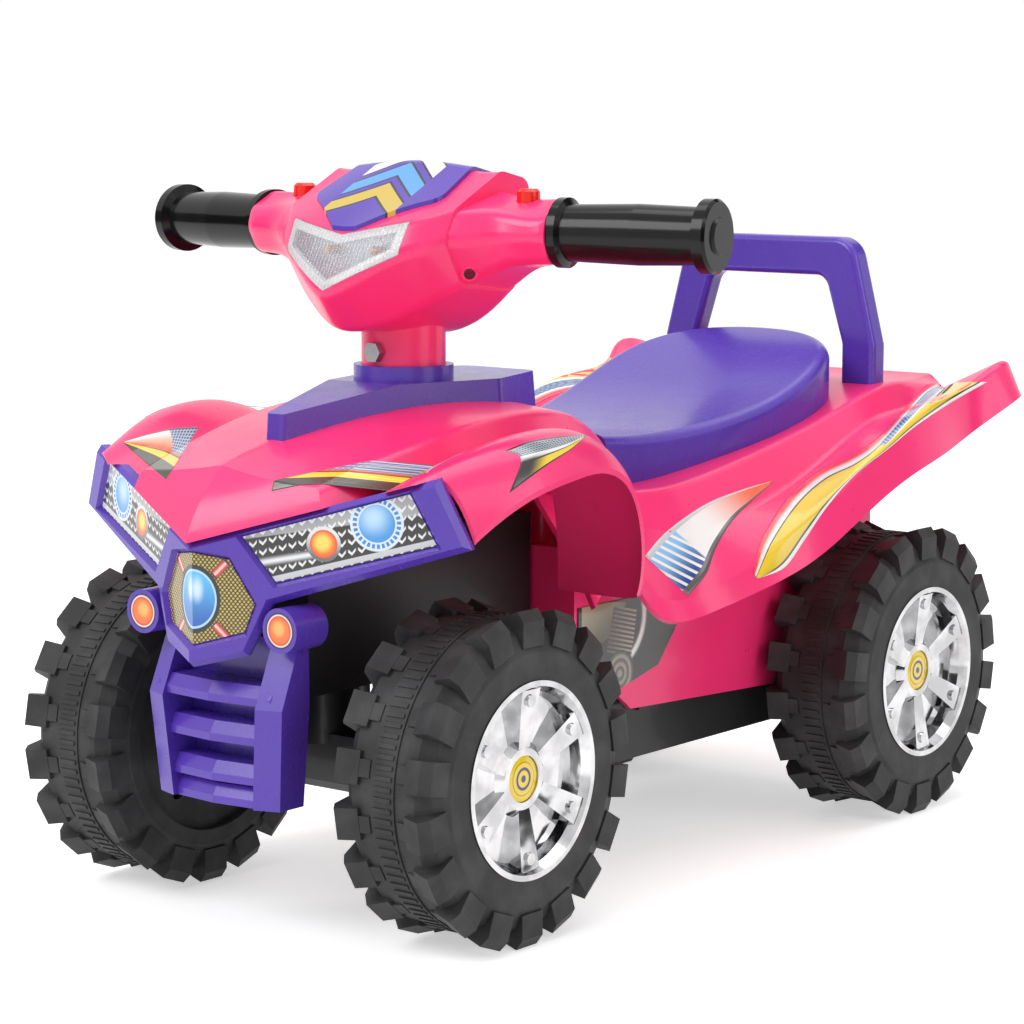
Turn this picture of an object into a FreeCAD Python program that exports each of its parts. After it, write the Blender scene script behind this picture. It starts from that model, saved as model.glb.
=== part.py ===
import FreeCAD, Part
import math
import os
import Sketcher
from FreeCAD import Placement, Rotation, Vector

# A foot-to-floor ride-on quad bike for a small child, as it comes apart on a bench.
# Millimetres. The nose points along -Y, the rider's left is +X and +Z is up.
# The origin lies on the floor, halfway between the front and rear axles.

SIZES = (
    # Running gear
    ("wheelbase", 390),
    ("track", 222),
    ("axle_diameter", 10),
    ("axle_tip", 2),
    ("running_gap", 0.05),
    ("seat_gap", 0.02),
    ("side_play", 0.4),
    ("nut_flats", 16),
    ("nut_height", 6),
    # Two-piece blown tyre
    ("tyre_diameter", 175),
    ("tyre_width", 62),
    ("tyre_wall", 3),
    ("tread_width", 40),
    ("shoulder_inset", 4),
    ("shoulder_drop", 5.5),
    ("sidewall_diameter", 132),
    ("lug_count", 18),
    ("lug_height", 6),
    ("lug_width", 17),
    ("lug_root", 15),
    ("lug_root_rise", 2),
    ("tongue_width", 9),
    ("tongue_root", 9),
    ("tongue_rise", 0.6),
    ("band_half", 7.5),
    ("band_rise", 0.8),
    ("rim_diameter", 103.4),
    ("rim_depth", 12),
    ("nut_pocket_diameter", 34),
    ("nut_pocket_depth", 10),
    ("inner_recess", 5),
    ("inner_recess_diameter", 116),
    ("tyre_screw_count", 5),
    ("tyre_screw_circle", 84),
    ("tyre_screw_hole", 8),
    # Chromed hub cap and its centre cap
    ("cap_gap", 0.2),
    ("cap_lip_proud", 0.8),
    ("cap_lip", 3),
    ("cap_dish", 2.5),
    ("spoke_count", 6),
    ("spoke_root", 9),
    ("spoke_tip", 15),
    ("spoke_rise", 4.5),
    ("cap_hub_diameter", 34),
    ("cap_hub_rise", 6),
    ("cap_bolt_diameter", 6.4),
    ("cap_bolt_circle", 82),
    ("cap_bolt_proud", 1.4),
    ("centre_cap_diameter", 24),
    ("centre_cap_height", 1.4),
    ("centre_cap_crown", 0.8),
    # Chassis tray
    ("floor_height", 57),
    ("floor_thickness", 4),
    ("tub_half_width", 66),
    ("tub_height", 39),
    ("tub_wall", 4),
    ("tub_front", 117),
    ("tub_rear", 43),
    ("axle_tube_diameter", 28),
    ("deck_height", 128),
    ("deck_thickness", 5),
    ("deck_half_width", 46),
    ("deck_front", 63),
    ("box_wall", 3),
    ("box_height", 77),
    ("flange_height", 86),
    ("flange_thickness", 3),
    ("flange_rear", 62),
    # Pivoting front axle carrier
    ("beam_half_depth", 17),
    ("beam_drop", 20),
    ("beam_rise", 11),
    ("post_diameter", 50),
    ("journal_diameter", 22),
    ("pivot_boss_diameter", 36),
    ("pivot_boss_height", 14),
    ("arm_reach", 30),
    ("arm_thickness", 5),
    ("arm_width", 16),
    ("arm_gap", 0.4),
    ("link_pin_diameter", 8),
    ("link_thickness", 4),
    ("link_width", 14),
    ("link_slack", 0.6),
    # Steering shaft
    ("steering_back", 67),
    ("shaft_diameter", 12),
    ("shaft_top", 330),
    ("bush_diameter", 18),
    ("bush_flange", 26),
    ("bush_flange_thickness", 2),
    ("steering_boss_diameter", 28),
    ("steering_boss_height", 12),
    ("column_diameter", 46),
    ("column_wall", 3),
    ("column_foot", 275),
    ("column_gap", 0.3),
    ("column_bolt_diameter", 6),
    ("column_bolt_height", 295.5),
    ("column_bolt_flats", 10),
    ("column_bolt_head", 4),
    # Lower body tub
    ("body_half_width", 75),
    ("body_wall", 3),
    ("body_front", 123),
    ("body_knee_height", 135),
    ("body_toe", 165),
    ("body_toe_height", 98),
    ("body_sill", 177),
    ("body_sill_front_height", 89),
    ("body_sill_rear", 67),
    ("body_sill_rear_height", 82),
    ("body_arch", 45),
    ("body_arch_height", 112),
    ("body_rear", 41),
    ("body_front_top", 186),
    ("body_rear_top", 236),
    ("panel_thickness", 0.8),
    # Outer shells
    ("shell_wall", 3),
    ("crease_radius", 6),
    ("flap_inner_half", 84),
    ("flap_head_room", 222),
    ("post_boss_diameter", 12),
    ("screw_diameter", 3.6),
    ("screw_length", 14),
    ("screw_head_diameter", 7),
    ("screw_head_height", 2.4),
    ("screw_half_width", 34),
    ("hood_screw_front", 46),
    ("hood_screw_rear", 24),
    ("rear_screw_front", 30),
    ("rear_screw_rear", 26),
    # Front mask
    ("mask_sweep", 24),
    ("mask_prow", 102.5),
    ("mask_thickness", 8),
    ("mask_recess", 3.5),
    ("mask_top_centre", 208),
    ("mask_outer", 131),
    ("mask_outer_top", 244.7),
    ("mask_corner", 148),
    ("mask_corner_height", 209.5),
    ("mask_inner", 43.8),
    ("mask_inner_height", 178),
    ("mask_shield_corner", 31),
    ("mask_shield_corner_height", 151),
    ("mask_shield_foot_height", 143.5),
    ("mask_bevel", 3.2),
    ("window_slope", 2),
    ("lamp_inner_top", 28),
    ("lamp_inner_top_height", 212),
    ("lamp_outer_top", 116),
    ("lamp_outer_top_height", 236.6),
    ("lamp_outer_low", 130),
    ("lamp_outer_low_height", 211),
    ("lamp_inner_low", 46),
    ("lamp_inner_low_height", 189),
    ("shield_top_height", 203),
    ("shield_shoulder", 21),
    ("shield_shoulder_height", 200),
    ("shield_side", 34.5),
    ("shield_side_height", 177.5),
    ("shield_heel", 29),
    ("shield_heel_height", 163),
    ("shield_foot_height", 155),
    # Bumper grille
    ("grille_top_half", 46),
    ("grille_waist_half", 46.5),
    ("grille_foot_half", 42),
    ("grille_top_height", 157),
    ("grille_waist_height", 124),
    ("grille_foot_height", 71),
    ("grille_top_back", 14),
    ("grille_foot_back", 3),
    ("grille_post_width", 14),
    ("grille_post_chamfer", 5),
    ("grille_depth", 26),
    ("grille_panel", 3),
    ("grille_bar_count", 3),
    ("grille_bar_height", 10),
    ("grille_bar_pitch", 21),
    ("grille_bar_start", 12),
    ("grille_bar_back", 4),
    ("grille_bar_bow", 4),
    ("grille_bar_nose", 4),
    ("fog_diameter", 23),
    ("fog_length", 24),
    ("fog_half_width", 48),
    ("fog_height", 166),
    ("fog_lens_diameter", 18),
    ("fog_lens_depth", 2),
    # Column cover
    ("cover_tip", 39),
    ("cover_brow", 6),
    ("cover_half_width", 45),
    ("cover_side", 99),
    ("cover_tail", 155),
    ("cover_top", 280),
    ("cover_tip_top", 268),
    ("cover_plateau", 34),
    ("cover_side_slope", 3),
    ("cover_base", 240),
    ("collar_wall", 4),
    ("collar_height", 8),
    # Seat
    ("seat_front", 185.4),
    ("seat_rear", 33),
    ("seat_front_half", 50),
    ("seat_rear_half", 78),
    ("seat_widest", 50),
    ("seat_wall", 3),
    ("seat_rim_radius", 7),
    # Push handle
    ("handle_place", 42),
    ("handle_depth", 16),
    ("handle_width", 24),
    ("handle_foot_half", 79),
    ("handle_knee_height", 280),
    ("handle_top_half", 62),
    ("handle_top", 346),
    ("handle_plug", 8),
    ("handle_corner", 16),
    ("handle_edge", 4),
    # Handlebar pod
    ("pod_wall", 2.5),
    ("pod_corner", 9),
    ("pod_parting_height", 318),
    ("pod_parting_slope", 0.42),
    ("lens_half_top", 40),
    ("lens_half_foot", 38.5),
    ("lens_corner_top", 367),
    ("lens_corner_foot", 350),
    ("lens_centre_top", 359.5),
    ("lens_centre_foot", 330.5),
    ("lens_gap", 0.3),
    ("lens_back", 32),
    ("reflector_thickness", 2),
    ("reflector_bowl", 5.06),
    ("led_diameter", 5),
    ("led_length", 8),
    ("led_half_pitch", 16),
    ("led_height", 351),
    ("cap_thickness", 2.2),
    ("cap_tip", 18),
    ("cap_shoulder_half", 44),
    ("cap_shoulder", 45),
    ("cap_tail_half", 34),
    ("cap_tail", 118),
    # Grips, tube and buttons
    ("grip_sweep", 9.6),
    ("grip_start", 100.4),
    ("grip_back", 75.5),
    ("grip_height", 361.5),
    ("grip_length", 92.6),
    ("grip_diameter", 32),
    ("grip_waist_diameter", 30),
    ("grip_collar_diameter", 37),
    ("grip_flange_diameter", 38.8),
    ("grip_collar", 5),
    ("grip_flange", 9),
    ("grip_end_diameter", 20),
    ("grip_end_proud", 1.5),
    ("bar_diameter", 16),
    ("bar_end_cover", 6),
    ("bar_rib", 60),
    ("bar_rib_thickness", 3),
    ("button_half_pitch", 79),
    ("button_back", 75.5),
    ("button_diameter", 12.4),
    ("button_top", 384),
    ("button_flange", 14.4),
    ("button_flange_thickness", 1.2),
    ("button_flange_height", 371.4),
    ("button_gap", 0.3),
    # Sound unit inside the pod
    ("board_height", 334),
    ("board_half_width", 30),
    ("board_front", 34),
    ("board_depth", 44),
    ("board_thickness", 1.6),
    ("board_post_diameter", 6),
    ("speaker_diameter", 22.4),
    ("speaker_inset", 0.5),
    ("speaker_depth", 7),
    ("cell_diameter", 14.2),
    ("cell_length", 48),
    ("cell_pip", 1.6),
    ("battery_half_width", 30),
    ("battery_low", 332),
    ("battery_high", 362),
)

# Hand-set cross-sections of the moulded shells. Places are measured rearwards from the axle
# named beside each table, and heights from the floor.
SECTIONS = {
    # Bonnet, from the front axle: ridge, top edge and foot of its side wall
    "bonnet": (
        ("place", "ridge", "edge_half", "edge", "foot_half", "foot"),
        (-122, 231, 55, 222, 64, 190),
        (-88, 242, 60, 233, 69, 205),
        (-50, 252, 65, 244, 75, 222),
        (-5, 263, 70, 255, 81, 236),
        (45, 271, 73, 263, 85, 243),
        (85, 272, 72, 265, 84, 240),
        (135, 266, 66, 258, 78, 210),
        (185, 244, 50, 237, 60, 198),
    ),
    # Side view of the beak on the centre line, from the front axle
    "beak": (
        ("place", "top"),
        (-105, 180), (-104.5, 206), (-100, 218), (-90, 232), (-74, 247), (-50, 265), (-20, 284),
    ),
    # Front fender, from the front axle: four lines that run back along it from its front edge,
    # each a row of places, distances from the centre and heights
    "fender_root": (
        ("place", "half", "top"),
        (-78, 48, 222), (-45, 48, 232), (-8, 48, 241), (30, 48, 247), (60, 48, 246), (83, 48, 236),
        (96, 48, 210), (99, 48, 168),
    ),
    "fender_roof": (
        ("place", "half", "top"),
        (-66, 92, 234), (-40, 96, 243), (-10, 99, 251), (30, 100, 258), (60, 100, 256), (83, 100, 243),
        (97, 100, 214), (100, 100, 168),
    ),
    "fender_crease": (
        ("place", "half", "top"),
        (-54, 111, 241), (-36, 116, 247), (-8, 122, 256), (30, 126, 262), (60, 126, 259), (82, 126, 245),
        (96, 126, 218), (100, 126, 168),
    ),
    "fender_lip": (
        ("place", "half", "top"),
        (-45, 129, 207), (-30, 134, 219), (-4, 142, 234), (30, 146, 242), (55, 146, 243), (73, 146, 236),
        (89, 146, 207), (93, 141, 172),
    ),
    # Skirt, from the front axle: deck edge, waist, crease and lower edge
    "skirt": (
        ("place", "deck_half", "deck", "waist_half", "waist", "crease_half", "crease", "hem_half", "hem"),
        (99.4, 64, 221, 82, 198, 101, 171, 107, 160),
        (145, 70, 216, 88, 193, 105, 167, 110, 156),
        (205, 78, 213, 94, 189, 108, 156, 112, 145),
    ),
    # Rear fenders, from the rear axle, with the same columns as the skirt
    "tail": (
        ("place", "deck_half", "deck", "waist_half", "waist", "crease_half", "crease", "hem_half", "hem"),
        (-163, 80, 215, 97, 190, 119, 168, 123, 153),
        (-135, 83, 220, 101, 197, 133, 188, 138, 166),
        (-90, 86, 229, 104, 209, 140, 213, 145, 187),
        (-41, 88, 240, 104, 226, 142, 237, 148, 208),
        (5, 88, 251, 102, 238, 142, 252, 148, 220),
        (55, 84, 257, 98, 243, 140, 261, 146, 234),
        (104.5, 79, 258, 94, 245, 132, 264, 139, 246),
    ),
    # Seat top along its centre line, first from the front axle, then from the rear axle
    "seat_nose": (("place", "top"), (180, 243), (222, 240)),
    "seat_back": (("place", "top"), (-115, 245), (-70, 255), (-30, 269), (8, 283), (40, 291)),
    # Handlebar pod: half width, then the corners of the section as place from the front axle
    # and height: lens top, lens foot, chin, keel, back, crown rear, crown front
    "pod": (
        ("half", "brow", "brow_z", "lip", "lip_z", "chin", "chin_z", "keel", "keel_z",
         "back", "back_z", "rear", "rear_z", "crown", "crown_z"),
        (0, 16, 360, -1, 330, 19, 308, 95, 303, 123, 335, 111, 389, 77, 396),
        (20, 18, 363, 5, 339, 25, 312, 95, 306, 122, 336, 110, 389, 77, 395),
        (40, 24, 367, 16, 350, 35, 322, 93, 316, 118, 340, 107, 387, 78, 393),
        (57, 40, 373, 32, 357, 47, 332, 89, 328, 108, 346, 104, 388, 80, 393),
    ),
    # Arms of the pod, with the same columns, from inside its middle to the grips
    "pod_arm": (
        ("half", "brow", "brow_z", "lip", "lip_z", "chin", "chin_z", "keel", "keel_z",
         "back", "back_z", "rear", "rear_z", "crown", "crown_z"),
        (47, 41, 372, 33, 357, 48, 333, 89, 329, 107, 346, 102, 377, 79, 382),
        (57, 41.5, 372, 33.5, 357, 48.5, 333.5, 89, 329.5, 106.5, 346, 102, 377, 79, 382),
        (69, 49, 373, 43, 358, 53, 339, 89, 337, 102, 350, 98, 376, 79, 380),
        (84, 54, 371, 51, 359, 58, 344, 90, 343, 98, 354, 96, 373, 77, 379),
        (105, 59.5, 371, 56, 360, 62.5, 346, 89, 345, 95.5, 356, 92, 374, 76, 380),
    ),
}

doc = FreeCAD.newDocument("quad_bike")
sheet = doc.addObject("Spreadsheet::Sheet", "size")


def write_sheet():
    """Put every driving dimension in the sheet under its own name."""
    row = 0
    for alias, number in SIZES:
        row += 1
        sheet.set(f"A{row}", alias)
        sheet.set(f"B{row}", str(number))
        sheet.setAlias(f"B{row}", alias)
    for table, (columns, *stations) in SECTIONS.items():
        for index, station in enumerate(stations):
            row += 1
            sheet.set(f"A{row}", f"{table} {index}")
            for letter, column, number in zip("BCDEFGHIJKLMNOP", columns, station):
                sheet.set(f"{letter}{row}", str(number))
                sheet.setAlias(f"{letter}{row}", f"{table}_{index}_{column}")
    doc.recompute()


write_sheet()


def size(alias):
    """A driving dimension as a number."""
    return float(sheet.get(alias))


def number(expression):
    """An expression on the sheet as a number."""
    return float(sheet.evalExpression(expression))


def stations(table):
    """The rows of one section table, each a dictionary of its columns."""
    columns, *rows = SECTIONS[table]
    return [{name: size(f"{table}_{index}_{name}") for name in columns} for index in range(len(rows))]


# Expressions that several pieces share
FRONT_AXLE = "-size.wheelbase / 2"
REAR_AXLE = "size.wheelbase / 2"
AXLE_HEIGHT = "size.tyre_diameter / 2"
STEERING_AXIS = f"{FRONT_AXLE} + size.steering_back"
TYRE_HALF = "size.tyre_width / 2"
TYRE_RADIUS = "size.tyre_diameter / 2"
CARCASS = "(size.tyre_diameter / 2 - size.lug_height)"
TREAD_HALF = "size.tread_width / 2"
SIDE_RADIUS = "size.sidewall_diameter / 2"
RIM_RADIUS = "size.rim_diameter / 2"
AXLE_BORE = "size.axle_diameter / 2 + size.running_gap"
RIM_FLOOR = f"{TYRE_HALF} - size.rim_depth"
NUT_SEAT = f"{RIM_FLOOR} - size.nut_pocket_depth"
HUB_BOSS = "size.nut_pocket_diameter / 2 + size.tyre_wall"
WHEEL_INNER_FACE = f"size.track / 2 - {TYRE_HALF}"
DECK_TOP = "size.deck_height + size.deck_thickness"
ARM_HEIGHT = f"{DECK_TOP} + size.pivot_boss_height + size.arm_gap"
LINK_HEIGHT = f"{ARM_HEIGHT} + size.arm_thickness + size.arm_gap"

front_axle = number(FRONT_AXLE)
rear_axle = number(REAR_AXLE)
steering_axis = number(STEERING_AXIS)

nodes = []


def keep(obj, label):
    """Name a finished sub-part and list it for export."""
    obj.Label = label
    nodes.append(obj)
    return obj


# Sketch and feature helpers

def new_body(name):
    return doc.addObject("PartDesign::Body", name)


def origin_plane(body, role):
    return next(part for part in body.Origin.OriginFeatures if part.Role == role)


def new_sketch(body, name, plane, offset):
    sketch = body.newObject("Sketcher::SketchObject", name)
    sketch.AttachmentSupport = [(origin_plane(body, plane), "")]
    sketch.MapMode = "FlatFace"
    sketch.setExpression(".AttachmentOffset.Base.z", offset)
    return sketch


def hold(sketch, geometry, point, place):
    """Tie one point of a sketch to two expressions."""
    for kind, expression in zip(("DistanceX", "DistanceY"), place):
        constraint = Sketcher.Constraint(kind, -1, 1, geometry, point, number(expression))
        index = sketch.addConstraint(constraint)
        sketch.setExpression(f"Constraints[{index}]", expression)


def add_outline(sketch, corners):
    """Add a closed straight-sided outline whose corners are tied to the sheet."""
    first = sketch.GeometryCount
    points = [Vector(number(across), number(up), 0) for across, up in corners]
    count = len(points)
    for index in range(count):
        sketch.addGeometry(Part.LineSegment(points[index], points[(index + 1) % count]), False)
    for index in range(count):
        following = first + (index + 1) % count
        sketch.addConstraint(Sketcher.Constraint("Coincident", first + index, 2, following, 1))
    for index, corner in enumerate(corners):
        hold(sketch, first + index, 1, corner)


def outline(body, name, plane, corners, offset="0"):
    sketch = new_sketch(body, name, plane, offset)
    add_outline(sketch, corners)
    return sketch


def rectangle(low, high):
    """Corners of a rectangle given by two opposite corners."""
    return [(low[0], low[1]), (high[0], low[1]), (high[0], high[1]), (low[0], high[1])]


def circles(body, name, plane, rounds, offset="0"):
    """Sketch of circles, each given by its centre and radius."""
    sketch = new_sketch(body, name, plane, offset)
    for across, up, radius in rounds:
        centre = Vector(number(across), number(up), 0)
        geometry = sketch.addGeometry(Part.Circle(centre, Vector(0, 0, 1), number(radius)), False)
        hold(sketch, geometry, 3, (across, up))
        index = sketch.addConstraint(Sketcher.Constraint("Radius", geometry, number(radius)))
        sketch.setExpression(f"Constraints[{index}]", radius)
    return sketch


def pad(body, sketch, length, symmetric=False, reverse=False):
    feature = body.newObject("PartDesign::Pad", f"{sketch.Name}_pad")
    feature.Profile = sketch
    feature.setExpression("Length", length)
    feature.SideType = "Symmetric" if symmetric else "One side"
    feature.Reversed = reverse
    return feature


def pocket(body, sketch, length, symmetric=False, reverse=False):
    feature = body.newObject("PartDesign::Pocket", f"{sketch.Name}_pocket")
    feature.Profile = sketch
    feature.setExpression("Length", length)
    feature.SideType = "Symmetric" if symmetric else "One side"
    feature.Reversed = reverse
    return feature


def revolve(body, sketch, kind="PartDesign::Revolution", axis="H_Axis"):
    feature = body.newObject(kind, f"{sketch.Name}_turn")
    feature.Profile = sketch
    feature.ReferenceAxis = (sketch, [axis])
    feature.Angle = 360
    return feature


def ring(body, sketch, features, count):
    """Repeat features round the X axis."""
    pattern = body.newObject("PartDesign::PolarPattern", f"{features[0].Name}_ring")
    pattern.Originals = features
    pattern.Axis = (sketch, ["H_Axis"])
    pattern.Angle = 360
    pattern.setExpression("Occurrences", count)
    body.Tip = pattern
    return pattern


def place(obj, x="0", y="0", z="0"):
    for axis, expression in zip("xyz", (x, y, z)):
        obj.setExpression(f".Placement.Base.{axis}", expression)


ALONG_X = Rotation(Vector(0, 1, 0), 90)
ALONG_Y = Rotation(Vector(1, 0, 0), -90)
HALF_TURN = Rotation(Vector(0, 0, 1), 180)


def rod(name, diameter, length, turn=None):
    """A plain round bar from its own origin along Z, or along the turned axis."""
    obj = doc.addObject("Part::Cylinder", name)
    obj.setExpression("Radius", f"({diameter}) / 2")
    obj.setExpression("Height", length)
    if turn:
        obj.Placement = Placement(Vector(), turn)
    return obj


def hexagon(name, flats, height, turn=None):
    """A hexagonal bar given by its width across the flats."""
    obj = doc.addObject("Part::Prism", name)
    obj.Polygon = 6
    obj.setExpression("Circumradius", f"({flats}) / 2 / cos(30 deg)")
    obj.setExpression("Height", height)
    if turn:
        obj.Placement = Placement(Vector(), turn)
    return obj


def cut(name, base, tool):
    obj = doc.addObject("Part::Cut", name)
    obj.Base = base
    obj.Tool = tool
    return obj


def fuse(name, pieces):
    obj = doc.addObject("Part::MultiFuse", name)
    obj.Shapes = pieces
    return obj


def group(name, pieces):
    obj = doc.addObject("Part::Compound", name)
    obj.Links = pieces
    return obj


def mirror(name, source):
    obj = doc.addObject("Part::Mirroring", name)
    obj.Source = source
    obj.Normal = Vector(1, 0, 0)
    return obj


def link(name, source, x, y, z, turn=None):
    """Another copy of a finished piece at its own place."""
    obj = doc.addObject("App::Link", name)
    obj.LinkedObject = source
    if turn:
        obj.Placement = Placement(Vector(), turn)
    place(obj, x, y, z)
    return obj


def moulding(label, shape):
    """A free-form shell whose shape comes from the section tables."""
    obj = doc.addObject("Part::Feature", label)
    obj.Shape = shape
    return keep(obj, label)


# Wheels: two blown tyre halves, a chromed cap and a centre cap on each

def lug_sketches(body, side):
    """Side views of one shoulder lug and its tongue; side is 1 outboard and -1 inboard."""
    def across(expression):
        return expression if side > 0 else f"-({expression})"

    sunk = f"{CARCASS} - size.tyre_wall / 3"
    block = [
        (across("size.lug_root"), sunk),
        (across("size.lug_root"), f"{CARCASS} + size.lug_root_rise"),
        (across(f"{TYRE_HALF} - size.shoulder_inset"), TYRE_RADIUS),
        (across(TYRE_HALF), f"{TYRE_RADIUS} - size.shoulder_drop"),
        (across(TYRE_HALF), f"{SIDE_RADIUS} + size.tyre_wall"),
        (across(f"{TYRE_HALF} - 0.8 * size.tyre_wall"), f"{SIDE_RADIUS} + size.tyre_wall"),
        (across(f"{TYRE_HALF} - size.shoulder_inset - size.tyre_wall / 2"),
         f"{CARCASS} - size.shoulder_drop - size.tyre_wall / 6"),
        (across(TREAD_HALF), f"{CARCASS} - size.tyre_wall / 2"),
    ]
    tongue = [
        (across("size.tongue_root"), sunk),
        (across("size.tongue_root"), f"{CARCASS} + size.tongue_rise"),
        (across("size.lug_root + 1"), f"{CARCASS} + size.lug_root_rise"),
        (across("size.lug_root + 1"), sunk),
    ]
    return (outline(body, f"{body.Name}_lug", "XZ_Plane", block),
            outline(body, f"{body.Name}_tongue", "XZ_Plane", tongue))


def add_lugs(body, profile, side):
    lug, tongue = lug_sketches(body, side)
    block = pad(body, lug, "size.lug_width", symmetric=True)
    finger = pad(body, tongue, "size.tongue_width", symmetric=True)
    ring(body, profile, [block, finger], "size.lug_count")


def build_outer_half():
    body = new_body("outer_half")
    wall = "size.tyre_wall"
    profile = outline(body, "outer_half_profile", "XZ_Plane", [
        ("0", AXLE_BORE),
        (NUT_SEAT, AXLE_BORE),
        (NUT_SEAT, "size.nut_pocket_diameter / 2"),
        (RIM_FLOOR, "size.nut_pocket_diameter / 2"),
        (RIM_FLOOR, RIM_RADIUS),
        (TYRE_HALF, RIM_RADIUS),
        (TYRE_HALF, SIDE_RADIUS),
        (f"{TYRE_HALF} - size.shoulder_inset", f"{CARCASS} - size.shoulder_drop"),
        (TREAD_HALF, CARCASS),
        ("size.band_half", CARCASS),
        ("size.band_half", f"{CARCASS} + size.band_rise"),
        ("0", f"{CARCASS} + size.band_rise"),
        ("0", f"{CARCASS} - {wall}"),
        (f"{TREAD_HALF} - 0.4 * {wall}", f"{CARCASS} - {wall}"),
        (f"{TYRE_HALF} - size.shoulder_inset - 0.8 * {wall}",
         f"{CARCASS} - size.shoulder_drop - 0.6 * {wall}"),
        (f"{TYRE_HALF} - {wall}", SIDE_RADIUS),
        (f"{TYRE_HALF} - {wall}", f"{RIM_RADIUS} + {wall}"),
        (f"{RIM_FLOOR} - {wall}", f"{RIM_RADIUS} + {wall}"),
        (f"{RIM_FLOOR} - {wall}", HUB_BOSS),
        ("0", HUB_BOSS),
    ])
    revolve(body, profile)
    add_lugs(body, profile, 1)
    return body


def build_inner_half():
    body = new_body("inner_half")
    wall = "size.tyre_wall"
    recess = "size.inner_recess_diameter / 2"
    profile = outline(body, "inner_half_profile", "XZ_Plane", [
        ("0", AXLE_BORE),
        (f"-{TYRE_HALF}", AXLE_BORE),
        (f"-{TYRE_HALF}", HUB_BOSS),
        (f"-{TYRE_HALF} + size.inner_recess", HUB_BOSS),
        (f"-{TYRE_HALF} + size.inner_recess", recess),
        (f"-{TYRE_HALF}", recess),
        (f"-{TYRE_HALF}", SIDE_RADIUS),
        (f"-{TYRE_HALF} + size.shoulder_inset", f"{CARCASS} - size.shoulder_drop"),
        (f"-{TREAD_HALF}", CARCASS),
        ("-size.band_half", CARCASS),
        ("-size.band_half", f"{CARCASS} + size.band_rise"),
        ("0", f"{CARCASS} + size.band_rise"),
        ("0", f"{CARCASS} - {wall}"),
        (f"-{TREAD_HALF} + 0.4 * {wall}", f"{CARCASS} - {wall}"),
        (f"-{TYRE_HALF} + size.shoulder_inset + 0.8 * {wall}",
         f"{CARCASS} - size.shoulder_drop - 0.6 * {wall}"),
        (f"-{TYRE_HALF} + {wall}", SIDE_RADIUS),
        (f"-{TYRE_HALF} + {wall}", f"{recess} + {wall}"),
        (f"-{TYRE_HALF} + size.inner_recess + {wall}", f"{recess} + {wall}"),
        (f"-{TYRE_HALF} + size.inner_recess + {wall}", HUB_BOSS),
        ("0", HUB_BOSS),
    ])
    revolve(body, profile)
    add_lugs(body, profile, -1)
    hole = circles(body, "tyre_screw_hole", "YZ_Plane",
                   [("0", "size.tyre_screw_circle / 2", "size.tyre_screw_hole / 2")],
                   offset=f"-{TYRE_HALF}")
    screw = pocket(body, hole, "size.inner_recess + 3 * size.tyre_wall", reverse=True)
    ring(body, profile, [screw], "size.tyre_screw_count")
    return body


def build_hub_cap():
    body = new_body("hub_cap")
    edge = f"{RIM_RADIUS} - size.cap_gap"
    lip = f"{TYRE_HALF} + size.cap_lip_proud"
    face = f"{RIM_FLOOR} + size.cap_dish"
    hub = f"{RIM_FLOOR} + size.cap_hub_rise"
    seat = f"{RIM_FLOOR} + size.cap_hub_rise - 2.5"
    hub_radius = "size.cap_hub_diameter / 2"
    centre = "size.centre_cap_diameter / 2"
    profile = outline(body, "hub_cap_profile", "XZ_Plane", [
        (RIM_FLOOR, "0"),
        (RIM_FLOOR, edge),
        (lip, edge),
        (lip, f"{edge} - size.cap_lip"),
        (f"{lip} - 0.5 * (size.rim_depth - size.cap_dish)", f"{edge} - 2 * size.cap_lip"),
        (face, f"{edge} - 2.6 * size.cap_lip"),
        (face, f"{hub_radius} + size.cap_lip"),
        (hub, f"{hub_radius} - 1"),
        (hub, f"{centre} + size.cap_gap"),
        (seat, f"{centre} + size.cap_gap"),
        (seat, "0"),
    ])
    revolve(body, profile)
    start = f"{RIM_FLOOR} + size.cap_dish / 2"
    spoke = outline(body, "hub_cap_spoke", "YZ_Plane", [
        ("-size.spoke_root / 2", f"{hub_radius} - 1"),
        ("size.spoke_root / 2", f"{hub_radius} - 1"),
        ("size.spoke_tip / 2", f"{edge} - 1.5 * size.cap_lip"),
        ("-size.spoke_tip / 2", f"{edge} - 1.5 * size.cap_lip"),
    ], offset=start)
    bar = pad(body, spoke, "size.rim_depth - size.cap_dish / 2 - 1")
    ring(body, profile, [bar], "size.spoke_count")
    slope = outline(body, "hub_cap_slope", "XZ_Plane", [
        (hub, f"{hub_radius} - 1"),
        (f"{hub} + size.spoke_rise", f"{edge} - 1.5 * size.cap_lip"),
        (f"{lip} + 1", f"{edge} - 1.5 * size.cap_lip"),
        (f"{lip} + 1", f"{hub_radius} - 1"),
    ])
    revolve(body, slope, "PartDesign::Groove")
    rise = "size.cap_hub_rise + size.spoke_rise * 0.8 + size.cap_bolt_proud"
    head = circles(body, "hub_cap_bolt", "YZ_Plane",
                   [("0", "size.cap_bolt_circle / 2", "size.cap_bolt_diameter / 2")], offset=start)
    bolt = pad(body, head, f"{rise} - size.cap_dish / 2")
    ring(body, profile, [bolt], "size.spoke_count")
    return body


def build_centre_cap():
    body = new_body("centre_cap")
    seat = f"{RIM_FLOOR} + size.cap_hub_rise - 2.5"
    radius = "size.centre_cap_diameter / 2"
    profile = outline(body, "centre_cap_profile", "XZ_Plane", [
        (seat, "0"),
        (seat, radius),
        (f"{seat} + size.centre_cap_height", radius),
        (f"{seat} + size.centre_cap_height + size.centre_cap_crown", f"0.7 * {radius}"),
        (f"{seat} + size.centre_cap_height + size.centre_cap_crown", "0"),
    ])
    revolve(body, profile)
    return body


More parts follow.
